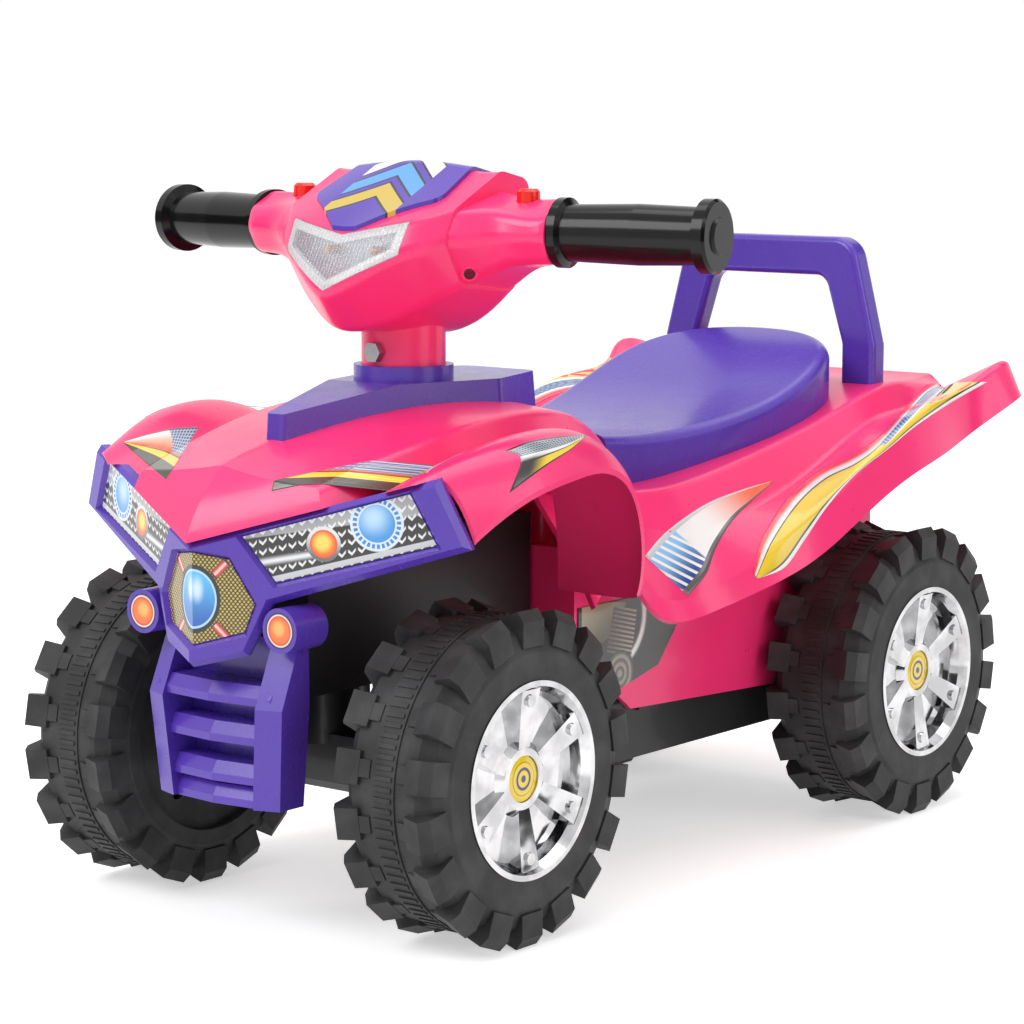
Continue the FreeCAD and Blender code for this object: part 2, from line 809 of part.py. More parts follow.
def build_wheels():
    masters = (
        ("wheel_outer_half", build_outer_half()),
        ("wheel_inner_half", build_inner_half()),
        ("hub_cap", build_hub_cap()),
        ("centre_cap", build_centre_cap()),
    )
    corners = (
        ("front_left", "size.track / 2", FRONT_AXLE, None),
        ("front_right", "-size.track / 2", FRONT_AXLE, HALF_TURN),
        ("rear_left", "size.track / 2", REAR_AXLE, None),
        ("rear_right", "-size.track / 2", REAR_AXLE, HALF_TURN),
    )
    for corner, x, y, turn in corners:
        for piece, master in masters:
            label = f"{piece}_{corner}"
            keep(link(label, master, x, y, AXLE_HEIGHT, turn), label)


# Axles and their nuts

def build_axle(end, y):
    length = f"size.track + 2 * ({RIM_FLOOR} - size.axle_tip)"
    axle = rod(f"{end}_axle", "size.axle_diameter", length, ALONG_X)
    place(axle, f"-({length}) / 2", y, AXLE_HEIGHT)
    keep(axle, f"{end}_axle")
    reach = f"size.track / 2 + {NUT_SEAT} + size.side_play"
    bored = []
    for side, start in (("left", reach), ("right", f"-({reach}) - size.nut_height")):
        blank = hexagon(f"{end}_nut_blank_{side}", "size.nut_flats", "size.nut_height", ALONG_X)
        place(blank, start, y, AXLE_HEIGHT)
        bore = rod(f"{end}_nut_bore_{side}", "size.axle_diameter + 2 * size.seat_gap",
                   "size.nut_height", ALONG_X)
        place(bore, start, y, AXLE_HEIGHT)
        bored.append(cut(f"{end}_nut_{side}", blank, bore))
    keep(group(f"{end}_axle_nuts", bored), f"{end}_axle_nuts")


# Chassis tray with its front box, bearing bosses and rear axle tube

def screw_places():
    """Centres of the upright screws under the hood and under the rear shell."""
    half = "size.screw_half_width"
    rows = (
        (f"{FRONT_AXLE} - size.hood_screw_front", "deck"),
        (f"{STEERING_AXIS} + size.hood_screw_rear", "deck"),
        (f"{FRONT_AXLE} + size.tub_front + size.rear_screw_front", "floor"),
        (f"{REAR_AXLE} - size.rear_screw_rear - size.axle_tube_diameter", "floor"),
    )
    return [(f"{sign}{half}", y, level) for y, level in rows for sign in ("", "-")]


def build_chassis():
    body = new_body("chassis_tray")
    front = f"{FRONT_AXLE} + size.tub_front"
    rear = f"{REAR_AXLE} + size.tub_rear"
    nose = f"{FRONT_AXLE} - size.deck_front"
    tub = "size.tub_half_width"
    tub_in = "(size.tub_half_width - size.tub_wall)"
    deck = "size.deck_half_width"
    deck_in = "(size.deck_half_width - size.box_wall)"
    tub_base = outline(body, "tub", "XY_Plane", rectangle((f"-{tub}", front), (tub, rear)),
                       offset="size.floor_height")
    pad(body, tub_base, "size.tub_height")
    tub_room = outline(body, "tub_room", "XY_Plane",
                       rectangle((f"-{tub_in}", f"{front} + size.tub_wall"),
                                 (tub_in, f"{rear} - size.tub_wall")),
                       offset="size.floor_height + size.tub_height")
    pocket(body, tub_room, "size.tub_height - size.floor_thickness")
    box = outline(body, "front_box", "XY_Plane",
                  rectangle((f"-{deck}", nose), (deck, f"{front} + size.tub_wall")),
                  offset="size.deck_height")
    pad(body, box, "size.box_height")
    box_room = outline(body, "front_box_room", "XY_Plane",
                       rectangle((f"-{deck_in}", f"{nose} + size.box_wall"), (deck_in, front)),
                       offset="size.deck_height + size.box_height")
    pocket(body, box_room, "size.box_height - size.deck_thickness")
    riser = outline(body, "riser", "XY_Plane",
                    rectangle((f"-{deck}", front), (deck, f"{front} + size.tub_wall")),
                    offset="size.floor_height")
    pad(body, riser, "size.deck_height - size.floor_height + 1")
    flange_out = "(size.body_half_width - size.body_wall)"
    flange = new_sketch(body, "flange", "XY_Plane", "size.flange_height")
    add_outline(flange, rectangle((f"-{flange_out}", f"{FRONT_AXLE} + size.body_sill + 12"),
                                  (flange_out, f"{REAR_AXLE} - size.flange_rear - 12")))
    add_outline(flange, rectangle((f"-{tub_in}", f"{FRONT_AXLE} + size.body_sill + 12 + size.tub_wall"),
                                  (tub_in, f"{REAR_AXLE} - size.flange_rear - 12 - size.tub_wall")))
    pad(body, flange, "size.flange_thickness")
    pivot = circles(body, "pivot_boss", "XY_Plane",
                    [("0", FRONT_AXLE, "size.pivot_boss_diameter / 2")], offset=DECK_TOP)
    pad(body, pivot, "size.pivot_boss_height")
    steering = circles(body, "steering_boss", "XY_Plane",
                       [("0", STEERING_AXIS, "size.steering_boss_diameter / 2")], offset=DECK_TOP)
    pad(body, steering, "size.steering_boss_height")
    bores = circles(body, "upright_bores", "XY_Plane", [
        ("0", FRONT_AXLE, "size.journal_diameter / 2 + size.running_gap"),
        ("0", STEERING_AXIS, "size.bush_diameter / 2 + size.seat_gap"),
    ], offset=f"{DECK_TOP} + size.pivot_boss_height + 1")
    pocket(body, bores, "size.deck_thickness + size.pivot_boss_height + 2")
    tube = circles(body, "axle_tube", "YZ_Plane",
                   [(REAR_AXLE, AXLE_HEIGHT, "size.axle_tube_diameter / 2")])
    pad(body, tube, f"2 * ({WHEEL_INNER_FACE} - size.side_play)", symmetric=True)
    tube_bore = circles(body, "axle_tube_bore", "YZ_Plane",
                        [(REAR_AXLE, AXLE_HEIGHT, "size.axle_diameter / 2 + size.seat_gap")])
    pocket(body, tube_bore, "size.track", symmetric=True)
    hole = "size.screw_diameter / 2 + size.seat_gap"
    for level, height, depth in (
            ("deck", DECK_TOP, "size.deck_thickness"),
            ("floor", "size.floor_height + size.floor_thickness", "size.floor_thickness")):
        spots = [(x, y, hole) for x, y, where in screw_places() if where == level]
        pocket(body, circles(body, f"{level}_holes", "XY_Plane", spots, offset=height), depth)
    head_room = "size.screw_head_diameter / 2 + size.seat_gap"
    recesses = [(x, y, head_room) for x, y, where in screw_places() if where == "floor"]
    pocket(body, circles(body, "floor_recesses", "XY_Plane", recesses,
                         offset="size.floor_height + size.screw_head_height"), "size.screw_head_height")
    keep(body, "chassis")


# Front axle carrier, steering shaft and drag link

def build_carrier():
    body = new_body("carrier")
    half = f"({WHEEL_INNER_FACE} - size.side_play)"
    beam = outline(body, "beam", "YZ_Plane", [
        (f"{FRONT_AXLE} - size.beam_half_depth", f"{AXLE_HEIGHT} - size.beam_drop + 5"),
        (f"{FRONT_AXLE} - size.beam_half_depth + 5", f"{AXLE_HEIGHT} - size.beam_drop"),
        (f"{FRONT_AXLE} + size.beam_half_depth - 5", f"{AXLE_HEIGHT} - size.beam_drop"),
        (f"{FRONT_AXLE} + size.beam_half_depth", f"{AXLE_HEIGHT} - size.beam_drop + 5"),
        (f"{FRONT_AXLE} + size.beam_half_depth", f"{AXLE_HEIGHT} + size.beam_rise"),
        (f"{FRONT_AXLE} - size.beam_half_depth", f"{AXLE_HEIGHT} + size.beam_rise"),
    ])
    pad(body, beam, f"2 * {half}", symmetric=True)
    post = circles(body, "post", "XY_Plane", [("0", FRONT_AXLE, "size.post_diameter / 2")],
                   offset=f"{AXLE_HEIGHT} + size.beam_rise / 2")
    pad(body, post, f"size.deck_height - size.arm_gap - {AXLE_HEIGHT} - size.beam_rise / 2")
    journal = circles(body, "journal", "XY_Plane", [("0", FRONT_AXLE, "size.journal_diameter / 2")],
                      offset="size.deck_height - size.arm_gap - 1")
    pad(body, journal, f"{ARM_HEIGHT} + size.arm_thickness - size.deck_height + size.arm_gap + 1")
    bore = circles(body, "carrier_bore", "YZ_Plane",
                   [(FRONT_AXLE, AXLE_HEIGHT, "size.axle_diameter / 2 + size.seat_gap")])
    pocket(body, bore, f"2 * {half} + 2", symmetric=True)
    keep(body, "axle_carrier")


def crank_sketches(body, y, hub_diameter):
    """An arm that reaches sideways from a vertical axis to a link pin."""
    arm = outline(body, f"{body.Name}_arm", "XY_Plane",
                  rectangle(("0", f"{y} - size.arm_width / 2"),
                            ("size.arm_reach", f"{y} + size.arm_width / 2")), offset=ARM_HEIGHT)
    pad(body, arm, "size.arm_thickness")
    hub = circles(body, f"{body.Name}_hub", "XY_Plane", [("0", y, f"({hub_diameter}) / 2")],
                  offset=ARM_HEIGHT)
    pad(body, hub, "size.arm_thickness")
    tip = circles(body, f"{body.Name}_tip", "XY_Plane",
                  [("size.arm_reach", y, "size.arm_width / 2")], offset=ARM_HEIGHT)
    pad(body, tip, "size.arm_thickness")
    pin = circles(body, f"{body.Name}_pin", "XY_Plane",
                  [("size.arm_reach", y, "size.link_pin_diameter / 2")], offset=ARM_HEIGHT)
    pad(body, pin, "size.arm_thickness + size.link_thickness + 3 * size.arm_gap")


def build_carrier_arm():
    body = new_body("carrier_crank")
    crank_sketches(body, FRONT_AXLE, "size.journal_diameter + size.arm_width / 2")
    bore = circles(body, "carrier_crank_bore", "XY_Plane",
                   [("0", FRONT_AXLE, "size.journal_diameter / 2 + size.seat_gap")],
                   offset=f"{ARM_HEIGHT} + size.arm_thickness")
    pocket(body, bore, "size.arm_thickness")
    keep(body, "carrier_arm")


def build_steering_shaft():
    body = new_body("shaft")
    crank_sketches(body, STEERING_AXIS, "size.bush_flange")
    stem = circles(body, "stem", "XY_Plane", [("0", STEERING_AXIS, "size.shaft_diameter / 2")],
                   offset="size.deck_height")
    pad(body, stem, "size.shaft_top - size.deck_height")
    cross = circles(body, "stem_cross_hole", "XZ_Plane",
                    [("0", "size.column_bolt_height", "size.column_bolt_diameter / 2 + size.seat_gap")],
                    offset=f"-({STEERING_AXIS})")
    pocket(body, cross, "2 * size.shaft_diameter", symmetric=True)
    keep(body, "steering_shaft")


def build_bush():
    body = new_body("bush")
    inner = "size.shaft_diameter / 2 + size.running_gap"
    sleeve = circles(body, "bush_sleeve", "XY_Plane", [
        ("0", STEERING_AXIS, "size.bush_diameter / 2"),
        ("0", STEERING_AXIS, inner),
    ], offset="size.deck_height")
    pad(body, sleeve, "size.deck_thickness + size.steering_boss_height + 1")
    flange = circles(body, "bush_flange_ring", "XY_Plane", [
        ("0", STEERING_AXIS, "size.bush_flange / 2"),
        ("0", STEERING_AXIS, inner),
    ], offset=f"{DECK_TOP} + size.steering_boss_height")
    pad(body, flange, "size.bush_flange_thickness")
    keep(body, "steering_bush")


def build_drag_link():
    body = new_body("rod_link")
    x = "size.arm_reach"
    bar = outline(body, "link_bar", "XY_Plane",
                  rectangle((f"{x} - size.link_width / 2", FRONT_AXLE),
                            (f"{x} + size.link_width / 2", STEERING_AXIS)), offset=LINK_HEIGHT)
    pad(body, bar, "size.link_thickness")
    for name, y in (("link_front", FRONT_AXLE), ("link_rear", STEERING_AXIS)):
        eye = circles(body, f"{name}_eye", "XY_Plane", [(x, y, "size.link_width / 2")],
                      offset=LINK_HEIGHT)
        pad(body, eye, "size.link_thickness")
    holes = circles(body, "link_holes", "XY_Plane", [
        (x, FRONT_AXLE, "size.link_pin_diameter / 2 + size.link_slack"),
        (x, STEERING_AXIS, "size.link_pin_diameter / 2 + size.running_gap"),
    ], offset=f"{LINK_HEIGHT} + size.link_thickness")
    pocket(body, holes, "size.link_thickness")
    keep(body, "drag_link")


def build_column_bolt():
    length = "size.column_diameter + 2 * size.seat_gap"
    start = f"{STEERING_AXIS} - size.column_diameter / 2 - size.seat_gap"
    stem = rod("column_bolt_stem", "size.column_bolt_diameter", length, ALONG_Y)
    place(stem, "0", start, "size.column_bolt_height")
    ends = []
    for name, y in (("column_bolt_head", f"{start} - size.column_bolt_head"),
                    ("column_bolt_nut", f"{start} + {length}")):
        end = hexagon(name, "size.column_bolt_flats", "size.column_bolt_head", ALONG_Y)
        place(end, "0", y, "size.column_bolt_height")
        ends.append(end)
    keep(fuse("column_bolt_solid", [stem] + ends), "column_bolt")


# Lower body tub and the printed panels on its sides

def build_lower_body():
    body = new_body("lower_tub")
    half = "size.body_half_width"
    side = [
        (f"{FRONT_AXLE} + size.body_front", "size.body_front_top"),
        (f"{FRONT_AXLE} + size.body_front", "size.body_knee_height"),
        (f"{FRONT_AXLE} + size.body_toe", "size.body_toe_height"),
        (f"{FRONT_AXLE} + size.body_sill", "size.body_sill_front_height"),
        (f"{REAR_AXLE} - size.body_sill_rear", "size.body_sill_rear_height"),
        (f"{REAR_AXLE} - size.body_arch", "size.body_arch_height"),
        (f"{REAR_AXLE} + size.body_rear", "size.body_arch_height"),
        (f"{REAR_AXLE} + size.body_rear", "size.body_rear_top"),
        (f"{REAR_AXLE} - size.body_arch", "size.body_rear_top - 12"),
    ]
    pad(body, outline(body, "body_side", "YZ_Plane", side), f"2 * {half}", symmetric=True)
    room = outline(body, "body_room", "XY_Plane",
                   rectangle((f"-{half} + size.body_wall", f"{FRONT_AXLE} + size.body_front + size.body_wall"),
                             (f"{half} - size.body_wall", f"{REAR_AXLE} + size.body_rear - size.body_wall")),
                   offset="size.body_rear_top + 1")
    pocket(body, room, "size.body_rear_top")
    keep(body, "lower_body")


def build_engine_panels():
    body = new_body("engine_panel")
    panel = outline(body, "engine_panel_outline", "YZ_Plane", [
        (f"{FRONT_AXLE} + size.body_front + 3", "size.body_knee_height + 18"),
        (f"{FRONT_AXLE} + size.body_front + 3", "size.body_knee_height + 1"),
        (f"{FRONT_AXLE} + size.body_toe - 1", "size.body_toe_height + 4"),
        (f"{FRONT_AXLE} + size.body_sill + 25", "size.body_toe_height + 13"),
        (f"{FRONT_AXLE} + size.body_sill + 50", "size.body_toe_height + 41"),
        (f"{FRONT_AXLE} + size.body_sill + 50", "size.body_knee_height + 18"),
    ], offset="size.body_half_width")
    pad(body, panel, "size.panel_thickness")
    keep(body, "engine_panel_left")
    keep(mirror("engine_panel_right", body), "engine_panel_right")


# Free-form shells

def rounded_loop(corners, radii):
    """Closed wire through the corners, each rounded by a tangent arc of its radius."""
    count = len(corners)
    arcs = []
    for index, corner in enumerate(corners):
        if not radii[index]:
            arcs.append((corner, None, corner))
            continue
        before = corners[index - 1] - corner
        after = corners[(index + 1) % count] - corner
        half_turn = (math.pi - before.getAngle(after)) / 2
        room = 0.45 * min(before.Length, after.Length)
        reach = min(radii[index] * math.tan(half_turn), room)
        before.normalize()
        after.normalize()
        bisector = (before + after).normalize()
        radius = reach / math.tan(half_turn)
        depth = radius / math.cos(half_turn) - radius
        arcs.append((corner + before * reach, corner + bisector * depth, corner + after * reach))
    edges = []
    for index, (start, middle, end) in enumerate(arcs):
        if middle:
            edges.append(Part.Arc(start, middle, end).toShape())
        edges.append(Part.LineSegment(end, arcs[(index + 1) % count][0]).toShape())
    return Part.Wire(edges)


def spline_edge(points):
    curve = Part.BSplineCurve()
    curve.interpolate(points)
    return curve.toShape()


def loft(wires):
    return Part.makeLoft(wires, True, False)


def inset(points, wall):
    """An open outline moved in by one wall; the inside lies to its right."""
    runs = [(after - before).normalize() for before, after in zip(points, points[1:])]
    normals = [Vector(run.y, -run.x, 0) for run in runs]
    moved = []
    for index, point in enumerate(points):
        before = normals[max(index - 1, 0)]
        after = normals[min(index, len(normals) - 1)]
        bisector = (before + after).normalize()
        moved.append(point + bisector * (wall / bisector.dot(after)))
    return moved


def across(half, values):
    """A half section and the values of its points, completed by their mirror image."""
    left = [(Vector(-point.x, point.y, 0), item) for point, item in zip(half, values) if point.x > 0]
    both = left[::-1] + list(zip(half, values))
    return [point for point, item in both], [item for point, item in both]


def solid_loft(sections, radii):
    """Solid body under a shell, closed straight across between its lower edges."""
    loops = []
    for y, half in sections:
        points, corner_radius = across(half, radii)
        loops.append(rounded_loop([Vector(point.x, y, point.y) for point in points], corner_radius))
    return loft(loops)


def room_loft(sections, radii):
    """Room under a shell: its section moved in by one wall, with its feet carried well down."""
    loops = []
    for y, half in sections:
        points, corner_radius = across(half, radii)
        inner = inset(points, size("shell_wall"))
        for end, before in ((0, 1), (-1, -2)):
            inner[end] = inner[end] + (inner[end] - inner[before]).normalize() * 4 * size("shell_wall")
        loops.append(rounded_loop([Vector(point.x, y, point.y) for point in inner], corner_radius))
    return loft(loops)


def skin_loft(sections, radii):
    """Shell of one wall thickness, open below and at both ends."""
    loops = []
    for y, half in sections:
        outer, corner_radius = across(half, radii)
        inner = inset(outer, size("shell_wall"))
        corners = [Vector(point.x, y, point.y) for point in outer + inner[::-1]]
        loops.append(rounded_loop(corners, corner_radius + corner_radius[::-1]))
    return loft(loops)


def corner_radii(names):
    soft = size("crease_radius")
    table = {"ridge": 4 * soft, "soft": soft, "crease": 0.6 * soft, "edge": 0}
    return [table[name] for name in names]


def topmost(shape):
    """The highest solid of a shape that a cut has left in several."""
    return max(shape.Solids, key=lambda solid: solid.CenterOfMass.z)


def bonnet_sections():
    rows = []
    for row in stations("bonnet"):
        half = [Vector(0, row["ridge"], 0), Vector(row["edge_half"], row["edge"], 0),
                Vector(row["foot_half"], row["foot"], 0)]
        rows.append((front_axle + row["place"], half))
    return rows


def rear_sections():
    rows = []
    for table, datum in (("skirt", front_axle), ("tail", rear_axle)):
        for row in stations(table):
            half = [Vector(row[f"{name}_half"], row[name], 0)
                    for name in ("deck", "waist", "crease", "hem")]
            rows.append((datum + row["place"], half))
    return rows


def fender_strip(table):
    """Edges of the thin closed section of the front fender along one of its lines."""
    rows = stations(table)
    top = [Vector(front_axle + row["place"], row["top"], 0) for row in rows]
    under = inset(top, size("shell_wall"))
    lines = []
    for line in (top, under):
        curve = Part.BSplineCurve()
        curve.interpolate([Vector(row["half"], point.x, point.y) for row, point in zip(rows, line)])
        lines.append(curve.toShape())
    ends = [Part.LineSegment(Vector(rows[i]["half"], top[i].x, top[i].y),
                             Vector(rows[i]["half"], under[i].x, under[i].y)).toShape() for i in (-1, 0)]
    return lines[0], ends[0], lines[1], ends[1]


def box(low, high):
    spans = [high[i] - low[i] for i in range(3)]
    return Part.makeBox(*spans, Vector(*low))


def upright(x, y, diameter, low, high):
    return Part.makeCylinder(diameter / 2, high - low, Vector(x, y, low))


def mirrored(shape):
    return shape.mirror(Vector(), Vector(1, 0, 0))


def front_fender():
    """Fender roof, outer lip and hanging rear flap on the rider's left."""
    strips = [fender_strip(f"fender_{name}") for name in ("root", "roof", "crease", "lip")]
    skin = Part.makeLoft([Part.Wire(strip) for strip in strips], False, False)
    closing = [Part.makeRuledSurface(strip[0], strip[2]) for strip in (strips[0], strips[-1])]
    walls = Part.makeShell(skin.Faces + closing)
    walls.sewShape()
    roof = Part.makeSolid(walls)
    if roof.Volume < 0:
        roof.reverse()
    behind = steering_axis - 10
    clear = box((0, behind, 0), (size("flap_inner_half"), behind + 100, size("flap_head_room")))
    return roof.cut(clear)


def screw_posts(level, foot, solid):
    """Screw posts that rise from one level into a shell, bored for their screws."""
    posts = []
    for x, y, where in screw_places():
        if where != level:
            continue
        centre = (number(x), number(y))
        boss = size("post_boss_diameter")
        head = upright(*centre, boss, foot, foot + 300).common(solid).Solids[0]
        stem = upright(*centre, boss, foot, head.CenterOfMass.z)
        bore = upright(*centre, size("screw_diameter") + 2 * size("seat_gap"), foot - 1,
                       foot + size("screw_length"))
        posts.append(head.fuse(stem).cut(bore))
    return posts


def mask_plane(point_across, height, depth=0, side=1):
    """A point on the swept front plane: distance along it, height and depth behind it."""
    sweep = math.radians(size("mask_sweep"))
    prow = front_axle - size("mask_prow")
    x = point_across * math.cos(sweep) - depth * math.sin(sweep)
    y = prow + point_across * math.sin(sweep) + depth * math.cos(sweep)
    return Vector(side * x, y, height)


def plate(corners, front, back, side=1):
    """Straight-sided plate on the swept front plane between two depths."""
    return tapered_plate([(corners, front), (corners, back)], side)


def tapered_plate(outlines, side=1):
    """Plate on the swept front plane through outlines at their depths."""
    faces = []
    for corners, depth in outlines:
        points = [mask_plane(across, height, depth, side) for across, height in corners]
        faces.append(Part.makePolygon(points + points[:1]))
    return Part.makeLoft(faces, True, True)


def mask_slope():
    """Rise of the mask's top edge along its swept plane."""
    return (size("mask_outer_top") - size("mask_top_centre")) / size("mask_outer")


def beak_cut(side, back):
    """Everything ahead of one side of the bonnet's beak, moved back by a distance.

    The beak's curved side view runs along the mask's top edge.
    """
    sweep = math.radians(size("mask_sweep"))
    along = Vector(side * math.cos(sweep), math.sin(sweep), mask_slope()) * 200
    line = [Vector(0, front_axle + row["place"] + back, row["top"]) for row in stations("beak")]
    far = line[0].y - 200
    corners = [line[-1], Vector(0, line[-1].y, 500), Vector(0, far, 500), Vector(0, far, line[0].z), line[0]]
    edges = [spline_edge(line)] + [Part.LineSegment(*pair).toShape() for pair in zip(corners, corners[1:])]
    side_view = Part.Face(Part.Wire(edges))
    side_view.translate(along * -0.2)
    return side_view.extrude(along * 1.2)


def mask_zone(side):
    """The room in front of the hood and below the mask's top edge, where the mask sits."""
    centre = size("mask_top_centre")
    slope = mask_slope()
    corners = [(-40, 0), (300, 0), (300, centre + 300 * slope), (0, centre), (-40, centre)]
    return plate(corners, -100, size("mask_thickness"), side)


def build_hood(rear_solid):
    radii = corner_radii(("ridge", "soft", "edge"))
    beaks = [beak_cut(side, 0) for side in (1, -1)]
    walls = [beak_cut(side, size("shell_wall")) for side in (1, -1)]
    zones = [mask_zone(side) for side in (1, -1)]
    solid = solid_loft(bonnet_sections(), radii).cut(beaks)
    solid = max(solid.Solids, key=lambda part: part.Volume)
    room = room_loft(bonnet_sections(), radii).cut(walls)
    bonnet = solid.cut(room).cut(zones)
    fender = front_fender().cut(zones[0])
    posts = screw_posts("deck", number(DECK_TOP), solid)
    hole = upright(0, steering_axis, size("shaft_diameter") + 8, 150, size("cover_top"))
    hood = bonnet.fuse([fender, mirrored(fender)]).fuse(posts).cut(hole)
    moulding("hood_shell", hood.cut(rear_solid))
    return solid


def build_rear_shell():
    radii = corner_radii(("soft", "soft", "crease", "edge"))
    solid = solid_loft(rear_sections(), radii)
    rear = rear_sections()[-1][0]
    tail = solid.common(box((-300, rear - size("shell_wall"), 0), (300, rear + 1, 500)))
    posts = screw_posts("floor", size("floor_height") + size("floor_thickness"), solid)
    return solid, skin_loft(rear_sections(), radii).fuse([tail] + posts)


def build_column_cover(hood_solid):
    """Kite-shaped cover on the bonnet with the collar that the column turns in."""
    tip = front_axle - size("cover_tip")
    side = front_axle + size("cover_side")
    tail = front_axle + size("cover_tail")
    half = size("cover_half_width")
    brow = size("cover_brow")
    base = size("cover_base")
    top = size("cover_top")
    shrink = size("cover_side_slope")

    def kite(front, half_width, back, height):
        corners = [Vector(-brow, front, height), Vector(brow, front, height),
                   Vector(half_width, side, height), Vector(half_width * 0.6, back, height),
                   Vector(-half_width * 0.6, back, height), Vector(-half_width, side, height)]
        return rounded_loop(corners, [3, 3, 8, 8, 8, 8])

    block = Part.makeLoft([kite(tip, half, tail, base), kite(tip + shrink, half - shrink, tail - shrink, top)],
                          True, True)
    plateau = steering_axis - size("cover_plateau")
    profile = [Vector(-200, tip, size("cover_tip_top")), Vector(-200, plateau, top), Vector(-200, tail + 1, top),
               Vector(-200, tail + 1, base), Vector(-200, tip, base)]
    block = block.common(Part.Face(Part.makePolygon(profile + profile[:1])).extrude(Vector(400, 0, 0)))
    collar_radius = size("column_diameter") / 2 + size("column_gap") + size("collar_wall")
    collar = upright(0, steering_axis, 2 * collar_radius, base, top + size("collar_height"))
    bore = upright(0, steering_axis, size("column_diameter") + 2 * size("column_gap"), base - 20, top + 50)
    cover = block.fuse(collar).cut([hood_solid, bore]).removeSplitter()
    moulding("column_cover", topmost(cover))


# Front mask: two swept headlamp frames that meet in a shield on the centre line

def mask_corners():
    """Corners of one half of the mask as distance along its plane and height."""
    return [
        (0, size("mask_top_centre")),
        (size("mask_outer"), size("mask_outer_top")),
        (size("mask_corner"), size("mask_corner_height")),
        (size("mask_inner"), size("mask_inner_height")),
        (size("mask_shield_corner"), size("mask_shield_corner_height")),
        (0, size("mask_shield_foot_height")),
    ]


def moved_in(corners, distance):
    """A closed outline, drawn clockwise, moved in by a distance."""
    points = [Vector(across, height, 0) for across, height in corners]
    moved = inset([points[-1]] + points + [points[0]], distance)
    return [(point.x, point.y) for point in moved[1:-1]]


def lamp_corners(grow=0):
    """Corners of the headlamp window, moved out by a distance."""
    names = ("inner_top", "outer_top", "outer_low", "inner_low")
    corners = [(size(f"lamp_{name}"), size(f"lamp_{name}_height")) for name in names]
    return moved_in(corners, -grow)


def shield_corners(grow=0):
    """Corners of one half of the shield window, moved out by a distance from past the centre line."""
    names = ("shoulder", "side", "heel")
    past = -size("shield_shoulder")
    corners = [(past, size("shield_top_height")), (0, size("shield_top_height"))]
    corners += [(size(f"shield_{name}"), size(f"shield_{name}_height")) for name in names]
    corners += [(0, size("shield_foot_height")), (past, size("shield_foot_height"))]
    return moved_in(corners, -grow)


def mask_half(side):
    """One bevelled half of the mask, up to the centre line."""
    past = -size("mask_inner")
    corners = mask_corners()
    outline = [(past, corners[0][1])] + corners + [(past, corners[-1][1])]
    bevel = size("mask_bevel")
    half = tapered_plate([(moved_in(outline, bevel), 0), (outline, bevel), (outline, size("mask_thickness"))], side)
    other = sorted((0, -side * 400))
    return half.cut(box((other[0], -500, 0), (other[1], 0, 400)))


def window(corners, side):
    """Recess with sloping walls for a printed panel."""
    slope = size("window_slope")
    deep = size("mask_recess")
    edge = moved_in(corners, -slope * (1 + 1 / deep))
    return tapered_plate([(edge, -1), (corners, deep)], side)


def build_mask():
    mask = mask_half(1).fuse(mask_half(-1))
    for side in (1, -1):
        mask = mask.cut(window(lamp_corners(), side))
        mask = mask.cut(window(shield_corners(), side))
    mask = mask.removeSplitter()
    moulding("front_mask", mask)
    return mask


def build_mask_panels():
    deep = size("mask_recess")
    thin = deep - size("panel_thickness")
    gap = -size("cap_gap")
    for side, name in ((1, "left"), (-1, "right")):
        moulding(f"headlight_panel_{name}", plate(lamp_corners(gap), thin, deep, side))
    halves = [plate(shield_corners(gap), thin, deep, side) for side in (1, -1)]
    trim = [box((-200, -500, 0), (0, 0, 400)), box((0, -500, 0), (200, 0, 400))]
    halves = [half.cut(part) for half, part in zip(halves, trim)]
    moulding("emblem_panel", halves[0].fuse(halves[1]).removeSplitter())


# Bumper grille with its fog lamp pods

def grille_levels():
    """Half width, front and height of the grille's posts at foot, waist and top."""
    front = front_axle - size("deck_front") - size("grille_depth")
    setback = {"foot": size("grille_foot_back"), "waist": 0, "top": size("grille_top_back")}
    return [(size(f"grille_{name}_half"), front + back, size(f"grille_{name}_height"))
            for name, back in setback.items()]


def grille_post(side):
    """Post with a chamfered front, leaning back above its waist."""
    back = front_axle - size("deck_front")
    loops = []
    for half, front, height in grille_levels():
        inner = half - size("grille_post_width")
        corners = [(inner, front), (half, front + size("grille_post_chamfer")), (half, back), (inner, back)]
        points = [Vector(side * x, y, height) for x, y in corners]
        loops.append(Part.makePolygon(points + points[:1]))
    return Part.makeLoft(loops, True, True)


def grille_bar(low):
    """Chevron bar between the posts, with a sloping top and a blunt nose."""
    back = front_axle - size("deck_front")
    (foot_half, foot_front, foot), (half, front, waist), top = grille_levels()
    share = (low - foot) / (waist - foot)
    reach = foot_half + share * (half - foot_half) - size("grille_post_width") / 2
    face = foot_front + share * (front - foot_front) + size("grille_bar_back")
    nose = size("grille_bar_nose")
    high = low + size("grille_bar_height")
    bow = size("grille_bar_bow")
    loops = []
    for x, front_y in ((-reach, face), (0, face - bow), (reach, face)):
        points = [Vector(x, front_y, low), Vector(x, front_y, low + nose), Vector(x, front_y + nose, high),
                  Vector(x, back, high), Vector(x, back, low)]
        loops.append(Part.makePolygon(points + points[:1]))
    return Part.makeLoft(loops, True, True)


